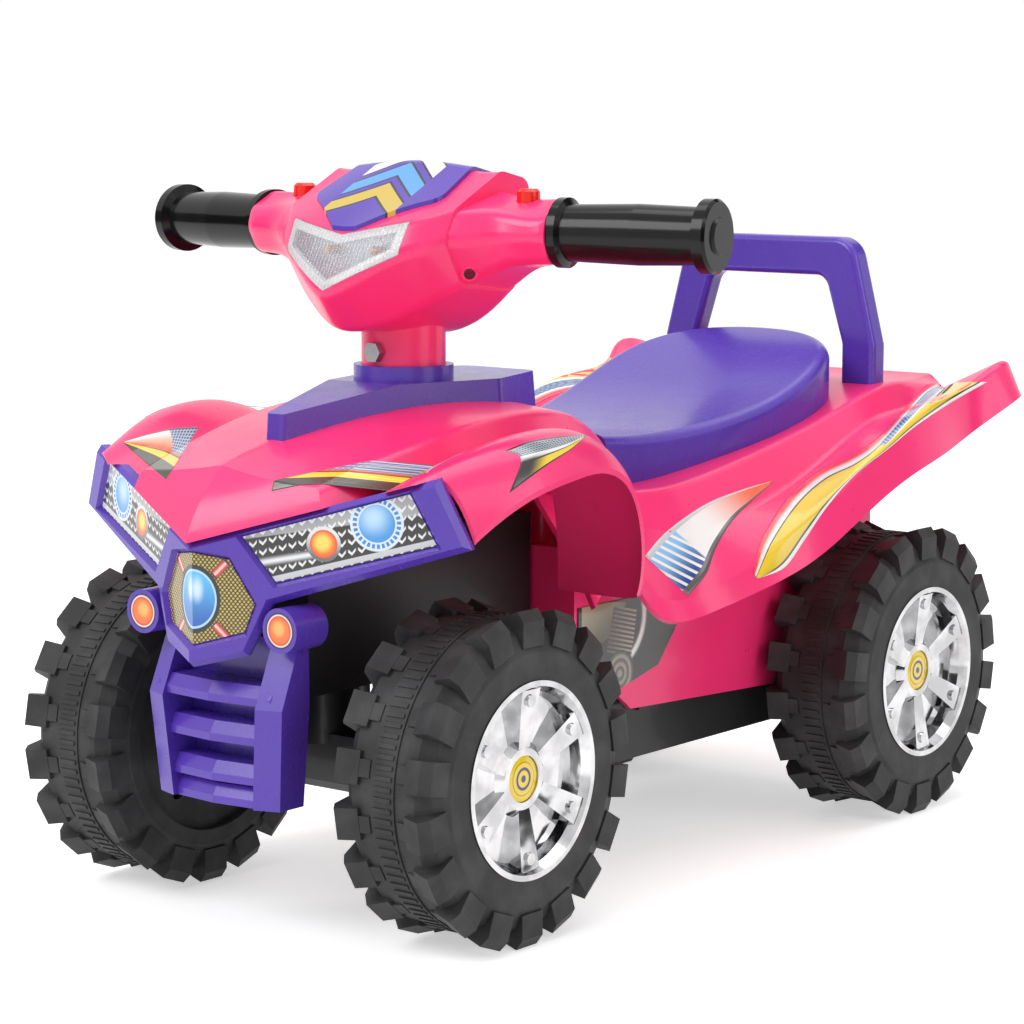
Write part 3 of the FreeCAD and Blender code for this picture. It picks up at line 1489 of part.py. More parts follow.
def build_grille(mask_solid):
    back = front_axle - size("deck_front")
    pieces = []
    for side in (1, -1):
        pieces.append(grille_post(side))
        start = Vector(side * size("fog_half_width"), fog_face(), size("fog_height"))
        pieces.append(Part.makeCylinder(size("fog_diameter") / 2, size("fog_length"), start, Vector(0, 1, 0)))
    width = size("grille_post_width")
    panel = [Vector(half - width / 2, back - size("grille_panel"), height) for half, front, height in grille_levels()]
    panel += [Vector(-point.x, point.y, point.z) for point in reversed(panel)]
    sheet_face = Part.Face(Part.makePolygon(panel + panel[:1]))
    pieces.append(sheet_face.extrude(Vector(0, size("grille_panel"), 0)))
    lows = [size("grille_foot_height")]
    for index in range(int(size("grille_bar_count"))):
        lows.append(lows[0] + size("grille_bar_start") + index * size("grille_bar_pitch"))
    pieces += [grille_bar(low) for low in lows]
    grille = pieces[0].fuse(pieces[1:])
    for side in (1, -1):
        grille = grille.cut(fog_disc(side, size("fog_lens_diameter") + 2 * size("cap_gap"), 1))
    grille = grille.cut(mask_solid).removeSplitter()
    moulding("bumper_grille", max(grille.Solids, key=lambda solid: solid.Volume))
    lenses = [fog_disc(side, size("fog_lens_diameter"), 0) for side in (1, -1)]
    moulding("fog_lamp_lenses", Part.makeCompound(lenses))


def fog_face():
    """Front face of the fog lamp pods."""
    return front_axle - size("deck_front") - size("fog_length")


def fog_disc(side, diameter, proud):
    """A disc seated in the face of one fog lamp pod."""
    start = Vector(side * size("fog_half_width"), fog_face() - proud, size("fog_height"))
    return Part.makeCylinder(diameter / 2, size("fog_lens_depth") + proud, start, Vector(0, 1, 0))


# Seat and push handle

def seat_block(shrink):
    """Seat solid under its dished top and inside its teardrop plan, shrunk by one wall."""
    top = []
    for table, datum in (("seat_nose", front_axle), ("seat_back", rear_axle)):
        top += [Vector(-100, datum + row["place"], row["top"] - shrink) for row in stations(table)]
    foot = 150
    line = spline_edge(top)
    corners = [top[-1], Vector(-100, top[-1].y, foot), Vector(-100, top[0].y, foot), top[0]]
    edges = [line] + [Part.LineSegment(a, b).toShape() for a, b in zip(corners, corners[1:])]
    slab = Part.Face(Part.Wire(edges)).extrude(Vector(200, 0, 0))
    front = front_axle + size("seat_front") + shrink
    rear = rear_axle + size("seat_rear") - shrink
    widest = rear_axle - size("seat_widest")
    nose_half = size("seat_front_half") - shrink
    rear_half = size("seat_rear_half") - shrink
    waist = 0.5 * (front + widest)
    right = spline_edge([Vector(nose_half, front, foot), Vector(0.42 * nose_half + 0.58 * rear_half, waist, foot),
                         Vector(rear_half, widest, foot), Vector(0.86 * rear_half, rear - 30, foot),
                         Vector(0.5 * rear_half, rear - 7, foot), Vector(0, rear, foot),
                         Vector(-0.5 * rear_half, rear - 7, foot), Vector(-0.86 * rear_half, rear - 30, foot),
                         Vector(-rear_half, widest, foot),
                         Vector(-0.42 * nose_half - 0.58 * rear_half, waist, foot),
                         Vector(-nose_half, front, foot)])
    close = Part.LineSegment(Vector(-nose_half, front, foot), Vector(nose_half, front, foot)).toShape()
    plan = Part.Face(Part.Wire([right, close])).extrude(Vector(0, 0, 250))
    return slab.common(plan)


def build_seat(rear_solid):
    outer = seat_block(0)
    rim = [edge for edge in outer.Edges if edge.BoundBox.ZMin > 200 and edge.BoundBox.XLength > 60
           and edge.BoundBox.YLength > 60]
    outer = outer.makeFillet(size("seat_rim_radius"), rim)
    moulding("seat", topmost(outer.cut([seat_block(size("seat_wall")), rear_solid])))


def build_push_handle():
    """Flat U-shaped handle whose legs plug into the tail."""
    middle = rear_axle + size("handle_place")
    depth = size("handle_depth")
    width = size("handle_width")
    foot_half = size("handle_foot_half")
    top_half = size("handle_top_half")
    top = size("handle_top")
    knee = size("handle_knee_height")
    front = middle - depth / 2
    tail = stations("tail")
    foot = tail[-2]["deck"] - size("handle_plug")

    def frame(half_foot, half_top, head, low):
        right = [Vector(half_foot, front, low), Vector(half_foot, front, knee), Vector(half_top, front, head)]
        return right + [Vector(-point.x, point.y, point.z) for point in reversed(right)]

    corner = size("handle_corner")
    outer = rounded_loop(frame(foot_half, top_half, top, foot), [1, 12, corner, corner, 12, 1])
    inner = rounded_loop(frame(foot_half - width, top_half - width + 4, top - width, foot - 5),
                         [1, 12, 0.6 * corner, 0.6 * corner, 12, 1])
    bow = Part.Face(outer).extrude(Vector(0, depth, 0)).cut(Part.Face(inner).extrude(Vector(0, depth, 0)))
    edges = [edge for edge in bow.Edges
             if edge.BoundBox.YLength < 0.01 and edge.BoundBox.ZMax > foot + 2]
    bow = bow.makeFillet(size("handle_edge"), edges)
    moulding("push_handle", bow)
    return bow


def build_rear_body(hollow, bow):
    moulding("rear_body_shell", hollow.cut(bow).removeSplitter())


# Handlebar pod: one lofted form, split and cut into its shells, lens and covers

POD_CORNERS = ("brow", "lip", "chin", "keel", "back", "rear", "crown")


def pod_loop(row, side, shrink, end):
    """One section of the pod, moved in by a distance, and pulled back from an end too."""
    points = [Vector(row[name], row[f"{name}_z"], 0) for name in POD_CORNERS]
    closed = inset(points + points[:2], -shrink)[1:-1]
    closed = [closed[-1]] + closed[:-1]
    x = side * (row["half"] - (shrink if end else 0))
    corners = [Vector(x, front_axle + point.x, point.y) for point in closed]
    return rounded_loop(corners, [max(size("pod_corner") - shrink, 3)] * len(corners))


def pod_solid(shrink):
    """The pod's outside moved in by a distance, closed at both arm ends."""
    rows = stations("pod")
    ordered = [(row, -1) for row in rows[:0:-1]] + [(row, 1) for row in rows]
    middle = loft([pod_loop(row, side, shrink, row["half"] == rows[-1]["half"]) for row, side in ordered])
    arm_rows = stations("pod_arm")
    arms = [loft([pod_loop(row, side, shrink, row is arm_rows[-1]) for row in arm_rows]) for side in (1, -1)]
    return middle.fuse(arms)


def parting_wedge():
    """Everything above the V-shaped parting line of the pod."""
    height = size("pod_parting_height")
    reach = 150
    rise = height + reach * size("pod_parting_slope")
    points = [Vector(0, -400, height), Vector(reach, -400, rise), Vector(reach, -400, 500),
              Vector(-reach, -400, 500), Vector(-reach, -400, rise)]
    return Part.Face(Part.makePolygon(points + points[:1])).extrude(Vector(0, 500, 0))


def lens_prism(grow):
    """The chevron outline of the lens, carried through the front of the pod."""
    top, foot = size("lens_half_top") + grow, size("lens_half_foot") + grow
    corners = [(0, size("lens_centre_top") + grow), (top, size("lens_corner_top") + grow),
               (foot, size("lens_corner_foot") - grow), (0, size("lens_centre_foot") - grow)]
    corners += [(-across, height) for across, height in corners[2:0:-1]]
    points = [Vector(across, -400, height) for across, height in corners]
    return Part.Face(Part.makePolygon(points + points[:1])).extrude(Vector(0, 400 + front_axle + 50, 0))


def bar_axis(side, distance):
    """A point on one half of the swept handlebar, measured outwards from its grip's inner end."""
    sweep = math.radians(size("grip_sweep"))
    x = size("grip_start") + distance * math.cos(sweep)
    y = front_axle + size("grip_back") + distance * math.sin(sweep)
    return Vector(side * x, y, size("grip_height"))


def bar_direction(side):
    sweep = math.radians(size("grip_sweep"))
    return Vector(side * math.cos(sweep), math.sin(sweep), 0)


def grip_rooms(distance):
    """Room square to each grip, from a distance along its bar outwards."""
    radius = size("grip_collar_diameter")
    return [Part.makeCylinder(radius, size("grip_length"), bar_axis(side, distance), bar_direction(side))
            for side in (1, -1)]


def bent_bar(diameter, tip):
    """The handlebar: two straight runs that meet on the centre line."""
    middle = -size("grip_start") / math.cos(math.radians(size("grip_sweep")))
    runs = [Part.makeCylinder(diameter / 2, tip - middle, bar_axis(side, middle), bar_direction(side))
            for side in (1, -1)]
    knee = Part.makeSphere(diameter / 2, bar_axis(1, middle))
    return runs[0].fuse([runs[1], knee]).removeSplitter()


def cap_prism():
    """Plan outline of the top cap, carried down through the pod."""
    tip = front_axle + size("cap_tip")
    shoulder = front_axle + size("cap_shoulder")
    tail = front_axle + size("cap_tail")
    right = [(8, tip), (size("cap_shoulder_half"), shoulder), (size("cap_tail_half"), tail)]
    corners = [Vector(x, y, 340) for x, y in right] + [Vector(-x, y, 340) for x, y in reversed(right)]
    return Part.Face(rounded_loop(corners, [4, 10, 10, 10, 10, 4])).extrude(Vector(0, 0, 100))


def battery_prism(grow):
    half = size("battery_half_width") + grow
    y = front_axle + size("cap_shoulder") + 45
    return box((-half, y, size("battery_low") - grow), (half, y + 100, size("battery_high") + grow))


def board_posts(inside):
    """Posts that carry the circuit board, trimmed to the inside of the pod."""
    posts = []
    for side in (1, -1):
        x = side * (size("board_half_width") - size("board_post_diameter"))
        for share in (0.1, 0.9):
            y = front_axle + size("board_front") + share * size("board_depth")
            posts.append(upright(x, y, size("board_post_diameter"), 250, size("board_height")))
    return [inside.common(post) for post in posts]


def bar_ribs(inside, above):
    """Ribs in the upper shell that clamp the bar."""
    half = size("bar_rib_thickness") / 2
    ribs = []
    for side in (1, -1):
        x = side * size("bar_rib")
        ribs.append(inside.common(box((x - half, -400, 200), (x + half, 0, 500))).common(above))
    return ribs


def build_column(inside, lower):
    """Add the steering column and its shaft socket to the lower shell."""
    foot = size("column_foot")
    wall = size("column_wall")
    reach = size("board_height")
    column = upright(0, steering_axis, size("column_diameter"), foot, reach).cut(inside)
    hollow = upright(0, steering_axis, size("column_diameter") - 2 * wall, foot + wall, reach)
    socket = upright(0, steering_axis, size("shaft_diameter") + 2 * wall, foot, size("shaft_top"))
    bore = upright(0, steering_axis, size("shaft_diameter") + 2 * size("seat_gap"), foot - 50, reach)
    cross = Part.makeCylinder(size("column_bolt_diameter") / 2 + size("seat_gap"), 100,
                              Vector(0, steering_axis - 50, size("column_bolt_height")), Vector(0, 1, 0))
    return lower.fuse(column).cut(hollow).fuse(socket).cut([bore, cross])


def largest(shape):
    return max(shape.removeSplitter().Solids, key=lambda solid: solid.Volume)


def build_pod():
    wall = size("pod_wall")
    outside = pod_solid(0).cut(grip_rooms(0))
    inside = pod_solid(wall).cut(grip_rooms(-wall))
    above = parting_wedge()
    gap = size("lens_gap")
    skin = outside.cut(inside)
    bar_room = bent_bar(size("bar_diameter") + 2 * size("seat_gap"), size("grip_length"))
    buttons = [upright(side * size("button_half_pitch"), front_axle + size("button_back"),
                       size("button_diameter") + 2 * size("button_gap"), size("grip_height"), 420)
               for side in (1, -1)]
    upper = skin.common(above).fuse(bar_ribs(inside, above))
    upper = upper.cut([lens_prism(gap), battery_prism(gap), bar_room] + buttons)
    moulding("handlebar_upper_shell", largest(upper))
    lower = skin.cut(above).fuse(board_posts(inside))
    lower = build_column(inside, lower).cut(bar_room)
    moulding("handlebar_lower_shell", largest(lower))
    moulding("headlamp_lens", largest(skin.common(lens_prism(0))))
    moulding("battery_cover", largest(skin.common(battery_prism(0))))
    back = front_axle + size("lens_back")
    sheet_metal = box((-70, back - size("reflector_thickness"), 300), (70, back, 400))
    bowls = [Part.makeCylinder(size("reflector_bowl") / 2, 20,
                               Vector(side * size("led_half_pitch"), back - 10, size("led_height")),
                               Vector(0, 1, 0)) for side in (1, -1)]
    moulding("headlamp_reflector", largest(inside.common(sheet_metal.common(lens_prism(6))).cut(bowls)))
    cap = pod_solid(-size("cap_thickness")).common(cap_prism()).cut(outside)
    moulding("handlebar_top_cap", largest(cap))
    moulding("handlebar_tube", bent_bar(size("bar_diameter"), size("grip_length") - size("bar_end_cover")))


# Grips, buttons and the sound unit

def build_grips():
    body = new_body("grip")
    bore = "size.bar_diameter / 2 + size.seat_gap"
    end = "size.grip_length"
    flange = "size.grip_flange_diameter / 2"
    collar = "size.grip_collar_diameter / 2"
    waist = "size.grip_waist_diameter / 2"
    bulge = "size.grip_diameter / 2"
    profile = outline(body, "grip_profile", "XZ_Plane", [
        ("0.3", bore),
        ("0.3", collar),
        ("size.grip_collar", collar),
        ("size.grip_collar + 1.5", waist),
        (f"{end} / 2", bulge),
        (f"{end} - size.grip_flange - 2", waist),
        (f"{end} - size.grip_flange", flange),
        (f"{end} - size.grip_end_proud - 1.5", flange),
        (f"{end} - size.grip_end_proud", f"{flange} - 1.5"),
        (f"{end} - size.grip_end_proud", "size.grip_end_diameter / 2"),
        (end, "size.grip_end_diameter / 2 - 1"),
        (end, "0"),
        (f"{end} - size.bar_end_cover", "0"),
        (f"{end} - size.bar_end_cover", bore),
    ])
    revolve(body, profile)
    body.Placement = Placement(Vector(), Rotation(Vector(0, 0, 1), 0))
    body.setExpression(".Placement.Rotation.Angle", "size.grip_sweep * 1 deg")
    place(body, "size.grip_start", f"{FRONT_AXLE} + size.grip_back", "size.grip_height")
    keep(body, "grip_left")
    keep(mirror("grip_right", body), "grip_right")


def build_buttons():
    body = new_body("button")
    profile = outline(body, "button_profile", "XZ_Plane", [
        ("0", "size.button_flange_height"),
        ("size.button_flange / 2", "size.button_flange_height"),
        ("size.button_flange / 2", "size.button_flange_height + size.button_flange_thickness"),
        ("size.button_diameter / 2", "size.button_flange_height + size.button_flange_thickness"),
        ("size.button_diameter / 2", "size.button_top - 1.5"),
        ("size.button_diameter / 2 - 1.5", "size.button_top"),
        ("0", "size.button_top"),
    ])
    revolve(body, profile, axis="V_Axis")
    for side, x in (("left", "size.button_half_pitch"), ("right", "-size.button_half_pitch")):
        keep(link(f"button_{side}", body, x, f"{FRONT_AXLE} + size.button_back", "0"), f"button_{side}")


def build_sound_unit():
    board = doc.addObject("Part::Box", "board_blank")
    board.setExpression("Length", "2 * size.board_half_width")
    board.setExpression("Width", "size.board_depth")
    board.setExpression("Height", "size.board_thickness")
    place(board, "-size.board_half_width", f"{FRONT_AXLE} + size.board_front", "size.board_height")
    keep(board, "circuit_board")
    horn = rod("speaker_can", "size.speaker_diameter", "size.speaker_depth")
    place(horn, "0", f"{FRONT_AXLE} + size.board_front + size.speaker_diameter / 2 + size.speaker_inset",
          "size.board_height - size.speaker_depth")
    keep(horn, "speaker")
    cells = []
    for index in range(2):
        can = rod(f"cell_{index}", "size.cell_diameter", "size.cell_length", ALONG_X)
        pip = rod(f"cell_pip_{index}", "size.cell_diameter / 3", "size.cell_length + size.cell_pip", ALONG_X)
        for piece in (can, pip):
            place(piece, "-size.cell_length / 2",
                  f"{FRONT_AXLE} + size.board_front + size.board_depth - size.cell_diameter * {0.5 + index}",
                  "size.board_height + size.board_thickness + size.cell_diameter / 2")
        cells.append(fuse(f"cell_solid_{index}", [can, pip]))
    keep(group("battery_pair", cells), "batteries")


def build_lamp_leds():
    leds = []
    radius = size("led_diameter") / 2
    for side in (1, -1):
        start = Vector(side * size("led_half_pitch"), front_axle + size("lens_back"), size("led_height"))
        stem = Part.makeCylinder(radius, size("led_length"), start, Vector(0, -1, 0))
        dome = Part.makeSphere(radius, start - Vector(0, size("led_length"), 0))
        leds.append(stem.fuse(dome).removeSplitter())
    moulding("lamp_leds", Part.makeCompound(leds))


def build_screws():
    screws = []
    for index, (x, y, level) in enumerate(screw_places()):
        seat = "size.deck_height - size.screw_head_height" if level == "deck" else "size.floor_height"
        head = rod(f"screw_head_{index}", "size.screw_head_diameter", "size.screw_head_height")
        place(head, x, y, seat)
        stem = rod(f"screw_stem_{index}", "size.screw_diameter", "size.screw_length")
        place(stem, x, y, seat)
        screws.append(fuse(f"screw_{index}", [head, stem]))
    keep(group("screw_set", screws), "body_screws")


def check_and_write():
    """Stop on any failed object, then write one file for each sub-part."""
    doc.recompute()
    failed = [obj.Name for obj in doc.Objects if {"Invalid", "Error"} & set(obj.State)]
    if failed:
        raise RuntimeError(f"these objects did not build: {failed}")
    os.makedirs("parts", exist_ok=True)
    shapes = {}
    for obj in nodes:
        shape = Part.getShape(obj)
        if shape.isNull() or not shape.isValid() or not shape.Solids:
            raise RuntimeError(f"{obj.Label} has no valid solid")
        shapes[obj.Label] = shape
    for label, shape in shapes.items():
        solids = shape.Solids
        whole = solids[0] if len(solids) == 1 else Part.makeCompound(solids)
        whole.exportStep(f"parts/{label}.step")
        print(f"{label}: {len(solids)} solid, {shape.Volume / 1000:.1f} cm3")
    print(len(shapes), "sub-parts")


def main():
    build_wheels()
    build_axle("front", FRONT_AXLE)
    build_axle("rear", REAR_AXLE)
    build_chassis()
    build_carrier()
    build_carrier_arm()
    build_steering_shaft()
    build_bush()
    build_drag_link()
    build_column_bolt()
    build_lower_body()
    build_engine_panels()
    rear_solid, rear_hollow = build_rear_shell()
    hood_solid = build_hood(rear_solid)
    build_column_cover(hood_solid)
    mask = build_mask()
    build_mask_panels()
    build_grille(mask)
    build_seat(rear_solid)
    bow = build_push_handle()
    build_rear_body(rear_hollow, bow)
    build_pod()
    build_grips()
    build_buttons()
    build_sound_unit()
    build_lamp_leds()
    build_screws()
    check_and_write()


main()
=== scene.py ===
"""Looks of the kids quad bike: finishes, prints, tread and studio, built around its CAD frame."""

import math

import bmesh
import bpy
from bpy.props import FloatProperty, FloatVectorProperty, IntProperty, PointerProperty
from mathutils import Matrix, Vector
from mathutils.bvhtree import BVHTree


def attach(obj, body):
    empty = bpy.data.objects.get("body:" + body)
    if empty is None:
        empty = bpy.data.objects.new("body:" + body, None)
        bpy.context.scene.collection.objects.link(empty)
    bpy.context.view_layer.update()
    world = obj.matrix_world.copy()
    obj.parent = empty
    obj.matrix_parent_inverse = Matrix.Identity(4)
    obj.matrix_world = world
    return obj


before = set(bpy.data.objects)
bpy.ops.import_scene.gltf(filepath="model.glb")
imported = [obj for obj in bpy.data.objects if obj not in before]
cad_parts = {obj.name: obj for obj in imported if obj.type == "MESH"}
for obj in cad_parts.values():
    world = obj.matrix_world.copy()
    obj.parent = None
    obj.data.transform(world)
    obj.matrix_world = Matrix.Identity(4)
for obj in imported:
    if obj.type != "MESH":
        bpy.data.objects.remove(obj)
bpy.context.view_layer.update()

bl_info = {
    "name": "Kids Quad Bike Looks",
    "version": (1, 0, 0),
    "blender": (4, 5, 0),
    "location": "View3D > Sidebar > Quad Bike",
    "description": "Dresses the packed CAD frame of a ride-on quad bike and sets up its studio",
    "category": "Object",
}

MM = 0.001
CORNERS = ("front_left", "front_right", "rear_left", "rear_right")
SIDES = (("left", 1), ("right", -1))

# Photograph's width in pixels, and the solved camera's sensor in millimetres and distance in metres
PHOTO = 1024
SENSOR = 36
BIKE_DISTANCE = 1.75

# Places on the CAD frame, in metres
PROW = (0, -0.2975, 0)
COLUMN = (0, -0.128, 0)
MASK_SWEEP = math.radians(24)
WHEEL_X = 0.111
WHEEL_Y = 0.195
WHEEL_Z = 0.0875

# Middles of what is drawn on the nose, in millimetres across and up, and of the studs from the jewel's
BLUE_LAMP = (98.8, 221)
BLUE_SHINE = (97, 224)
AMBER_LAMP = (71, 209.7)
AMBER_SHINE = (70.4, 210.4)
FOG_LAMP = (48, 166)
FOG_SHINE = (47.4, 167)
JEWEL = (0, 179)
JEWEL_SHINE = (2.5, 184)
STUD = (15, 16)

# Rise of the lamp print's marks, gloss and bar for each millimetre across
MARK_RISE = 0.262
GLOSS_RISE = 0.166
BAR_RISE = 0.19

# Dashes round the blue lamp, and the part of a diagonal's length that lies along each axis
LAMP_DASHES = 28
DIAGONAL = 0.7071

# What is drawn on the engine panels, in millimetres back and up
TANK = [(-66, 129), (-58, 127), (-38, 134), (-24, 151), (-66, 156)]
CYLINDER = [(-43, 124), (-19, 118), (-14, 146), (-36, 150)]
FIN_PITCH = 2.6
PIPE = (-34, 143)
PIPE_RADIUS = 27
COVER = (-30, 111)
COVER_PITCH = 4.4

# Outline that bounds each half of the pod's lens, its border and its flutes, in millimetres across and up
LENS = [(0, 330.5), (38.5, 350), (40, 367), (0, 359.5), (-40, 345)]
LENS_BORDER = 4.5
FLUTE_PITCH = 2.4

# Inks that several prints share
NIGHT = (0.02, 0.02, 0.03)
SOOT = (0.05, 0.045, 0.03)
PAPER = (0.92, 0.92, 0.9)
RED_INK = (0.95, 0.1, 0.03)

# Dark cards that only reflections see: middle on the floor, half their run, lower and upper edge, in metres
CARDS = {
    "card_right": ((1.25, 0.75, 0), (0.3, -0.3, 0), 0.0, 0.75),
    "card_low": ((0.72, 0.42, 0), (0.14, -0.12, 0), 0.0, 0.06),
    "card_side": ((1.6, -0.6, 0), (0.1, 0.35, 0), 0.1, 0.9),
    "card_front": ((0.7, -2.3, 0), (0.5, 0.2, 0), 0.5, 1.5),
    "card_back": ((0.6, 1.7, 0), (0.6, 0, 0), 0.9, 1.8),
    "card_left": ((-1.6, -1.2, 0), (0.35, -0.45, 0), 0.05, 0.8),
}


def colour_property(name, description, colour):
    return FloatVectorProperty(name=name, description=description, subtype="COLOR", size=3, min=0, max=1,
                               default=colour)


def length_property(name, description, default):
    return FloatProperty(name=name, description=description, default=default, min=0, subtype="DISTANCE")


def angle_property(name, description, degrees):
    return FloatProperty(name=name, description=description, default=math.radians(degrees), subtype="ANGLE")


def power_property(name, description, watts):
    return FloatProperty(name=name, description=description, default=watts, min=0, subtype="POWER")


class QuadColours(bpy.types.PropertyGroup):
    """Colours of the mouldings and prints."""

    pink: colour_property("Pink", "Body mouldings", (1.0, 0.033, 0.19))
    purple: colour_property("Purple", "Seat, mask, grille and handle", (0.095, 0.041, 0.42))
    black: colour_property("Black", "Chassis and grips", (0.012, 0.012, 0.013))
    tyre: colour_property("Tyre", "Blown tyres", (0.034, 0.033, 0.034))
    chrome: colour_property("Chrome", "Metallised hub caps", (0.6, 0.6, 0.61))
    yellow: colour_property("Yellow", "Centre caps and stripes", (0.93, 0.66, 0.03))
    red: colour_property("Red", "Sound buttons", (0.75, 0.014, 0.01))
    orange: colour_property("Orange", "Fog lamps and stripes", (0.92, 0.17, 0.015))
    blue: colour_property("Blue", "Printed lamps and mesh", (0.05, 0.32, 0.75))
    silver: colour_property("Silver", "Printed bars and borders", (0.62, 0.63, 0.64))
    gold: colour_property("Gold", "Printed grille and engine", (0.62, 0.45, 0.07))


class QuadDetails(bpy.types.PropertyGroup):
    """Sizes of the tread ribs and stickers."""

    rungs: IntProperty(name="Tread rungs", description="Small ribs round the middle of each tyre", default=96,
                       min=8, max=200)
    rung_radius: length_property("Rung radius", "Middle of the rungs, from the axle", 0.0822)
    rung_height: length_property("Rung height", "Rise of a rung through the tread band", 0.0016)
    rung_thickness: length_property("Rung thickness", "Along the tread", 0.0022)
    rung_width: length_property("Rung width", "Across the tread", 0.0115)
    film: length_property("Film", "Rise of the stickers above the shells", 0.00022)
    film_root: length_property("Film root", "Depth of the stickers' backs in the shells", 0.0001)


class QuadStudio(bpy.types.PropertyGroup):
    """Camera and lamps."""

    camera_place: FloatVectorProperty(name="Camera place", description="Camera at the photograph's angle",
                                      subtype="TRANSLATION", default=(1.0855, -1.4183, 0.4319))
    azimuth: angle_property("Azimuth", "Turn of the view from straight ahead", 38.06)
    pitch: angle_property("Pitch", "Downward tilt of the view", 7.62)
    roll: angle_property("Roll", "Turn of the picture", 0.19)
    lens: FloatProperty(name="Lens", description="Focal length", default=109.1, subtype="DISTANCE_CAMERA")
    world: FloatProperty(name="World", description="Level of the surrounding light", default=0.5, min=0)
    floor_glow: FloatProperty(name="Floor glow", description="White added to the floor as the camera sees it",
                              default=0.5, min=0, max=1, subtype="FACTOR")
    key: power_property("Key lamp", "Power of the main lamp", 26)
    fill: power_property("Fill lamp", "Power of the side lamp", 9)
    top: power_property("Top lamp", "Power of the lamp overhead", 16)


class Wire:
    """An output in a shader's node tree. Arithmetic on it adds Math nodes."""

    def __init__(self, board, socket):
        self.board = board
        self.socket = socket

    def __add__(self, other):
        return self.board.maths("ADD", self, other)

    __radd__ = __add__

    def __sub__(self, other):
        return self.board.maths("SUBTRACT", self, other)

    def __rsub__(self, other):
        return self.board.maths("SUBTRACT", other, self)

    def __mul__(self, other):
        return self.board.maths("MULTIPLY", self, other)

    __rmul__ = __mul__

    def __truediv__(self, other):
        return self.board.maths("DIVIDE", self, other)

    def __rtruediv__(self, other):
        return self.board.maths("DIVIDE", other, self)

    def __mod__(self, other):
        return self.board.maths("FLOORED_MODULO", self, other)

    def __rmod__(self, other):
        return self.board.maths("FLOORED_MODULO", other, self)

    def __pow__(self, other):
        return self.board.maths("POWER", self, other)

    def __rpow__(self, other):
        return self.board.maths("POWER", other, self)

    def __abs__(self):
        return self.board.maths("ABSOLUTE", self)

    def __and__(self, other):
        return self.board.maths("MINIMUM", self, other)

    __rand__ = __and__

    def __or__(self, other):
        return self.board.maths("MAXIMUM", self, other)

    __ror__ = __or__


class Board:
    """A shader's node tree."""

    def __init__(self, tree):
        self.tree = tree

    def feed(self, socket, value):
        """Give a socket a value or a link."""
        if isinstance(value, Wire):
            self.tree.links.new(value.socket, socket)
        else:
            socket.default_value = value

    def node(self, kind, settings=(), inputs=(), output=0):
        """Add a node: its settings are set first, then its sockets get values or links."""
        made = self.tree.nodes.new(kind)
        for name, value in dict(settings).items():
            setattr(made, name, value)
        for name, value in dict(inputs).items():
            self.feed(made.inputs[name], value)
        return Wire(self, made.outputs[output])

    def maths(self, operation, *values):
        return self.node("ShaderNodeMath", {"operation": operation}, enumerate(values))

    def seen_rays(self):
        """1 for rays of the camera, of reflections and through glass."""
        camera, glossy, glass = [self.node("ShaderNodeLightPath", output=f"Is {kind} Ray")
                                 for kind in ("Camera", "Glossy", "Transmission")]
        return camera | glossy | glass

    def finish(self, output, shader):
        """Lead a shader to the tree's output."""
        self.feed(self.tree.nodes[output].inputs["Surface"], shader)


class Paint(Board):
    """A procedural finish: one Principled shader and the nodes that feed it."""

    def __init__(self, name, **constants):
        self.material = bpy.data.materials.new(name)
        self.material.use_nodes = True
        super().__init__(self.material.node_tree)
        self.shader = self.tree.nodes["Principled BSDF"]
        for socket, value in constants.items():
            self.set(socket.replace("_", " ").title().replace("Ior", "IOR"), value)

    def set(self, socket, value):
        """Give the shader's own socket a value or a link."""
        self.feed(self.shader.inputs[socket], value)

    def colour(self):
        """The base colour so far."""
        return Wire(self, self.shader.inputs["Base Color"].links[0].from_socket)

    def mix(self, share, first, second):
        """A colour between two others."""
        colours = [value if isinstance(value, Wire) else (*value[:3], 1) for value in (first, second)]
        return self.node("ShaderNodeMix", {"data_type": "RGBA"}, {0: share, 6: colours[0], 7: colours[1]}, 2)

    def step(self, value, low, high):
        """0 below the low value, 1 above the high one, and smooth between."""
        limits = {"Value": value, "From Min": low, "From Max": high}
        return self.node("ShaderNodeMapRange", {"interpolation_type": "SMOOTHSTEP"}, limits)

    def place(self, origin=(0, 0, 0), turn=(0, 0, 0)):
        """Object coordinates in millimetres from an origin and turn of their own."""
        raw = self.node("ShaderNodeTexCoord", output="Object")
        moves = {"Vector": raw, "Location": origin, "Rotation": turn, "Scale": (MM, MM, MM)}
        return self.node("ShaderNodeMapping", {"vector_type": "TEXTURE"}, moves)

    def sheet(self, layer):
        """The piece's own UV map."""
        return self.node("ShaderNodeUVMap", {"uv_map": layer})

    def split(self, vector, axes):
        """Some of a vector's parts, such as XZ."""
        return [self.node("ShaderNodeSeparateXYZ", (), {"Vector": vector}, axis) for axis in axes]

    def noise(self, vector, scale, detail):
        return self.node("ShaderNodeTexNoise", (), {"Vector": vector, "Scale": scale, "Detail": detail})

    def bump(self, height, distance):
        """Raise the surface by a height from 0 to 1, times a distance in metres."""
        inputs = {"Height": height, "Distance": distance, "Strength": 1.0}
        self.set("Normal", self.node("ShaderNodeBump", (), inputs))

    def on(self, *names):
        """Put the finish on CAD nodes."""
        for name in names:
            wear(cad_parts[name], self.material)


def wear(piece, material):
    """Give a piece one finish all over."""
    piece.data.materials.clear()
    piece.data.materials.append(material)


def linked(name, data):
    """A new object in the scene."""
    piece = bpy.data.objects.new(name, data)
    bpy.context.scene.collection.objects.link(piece)
    return piece


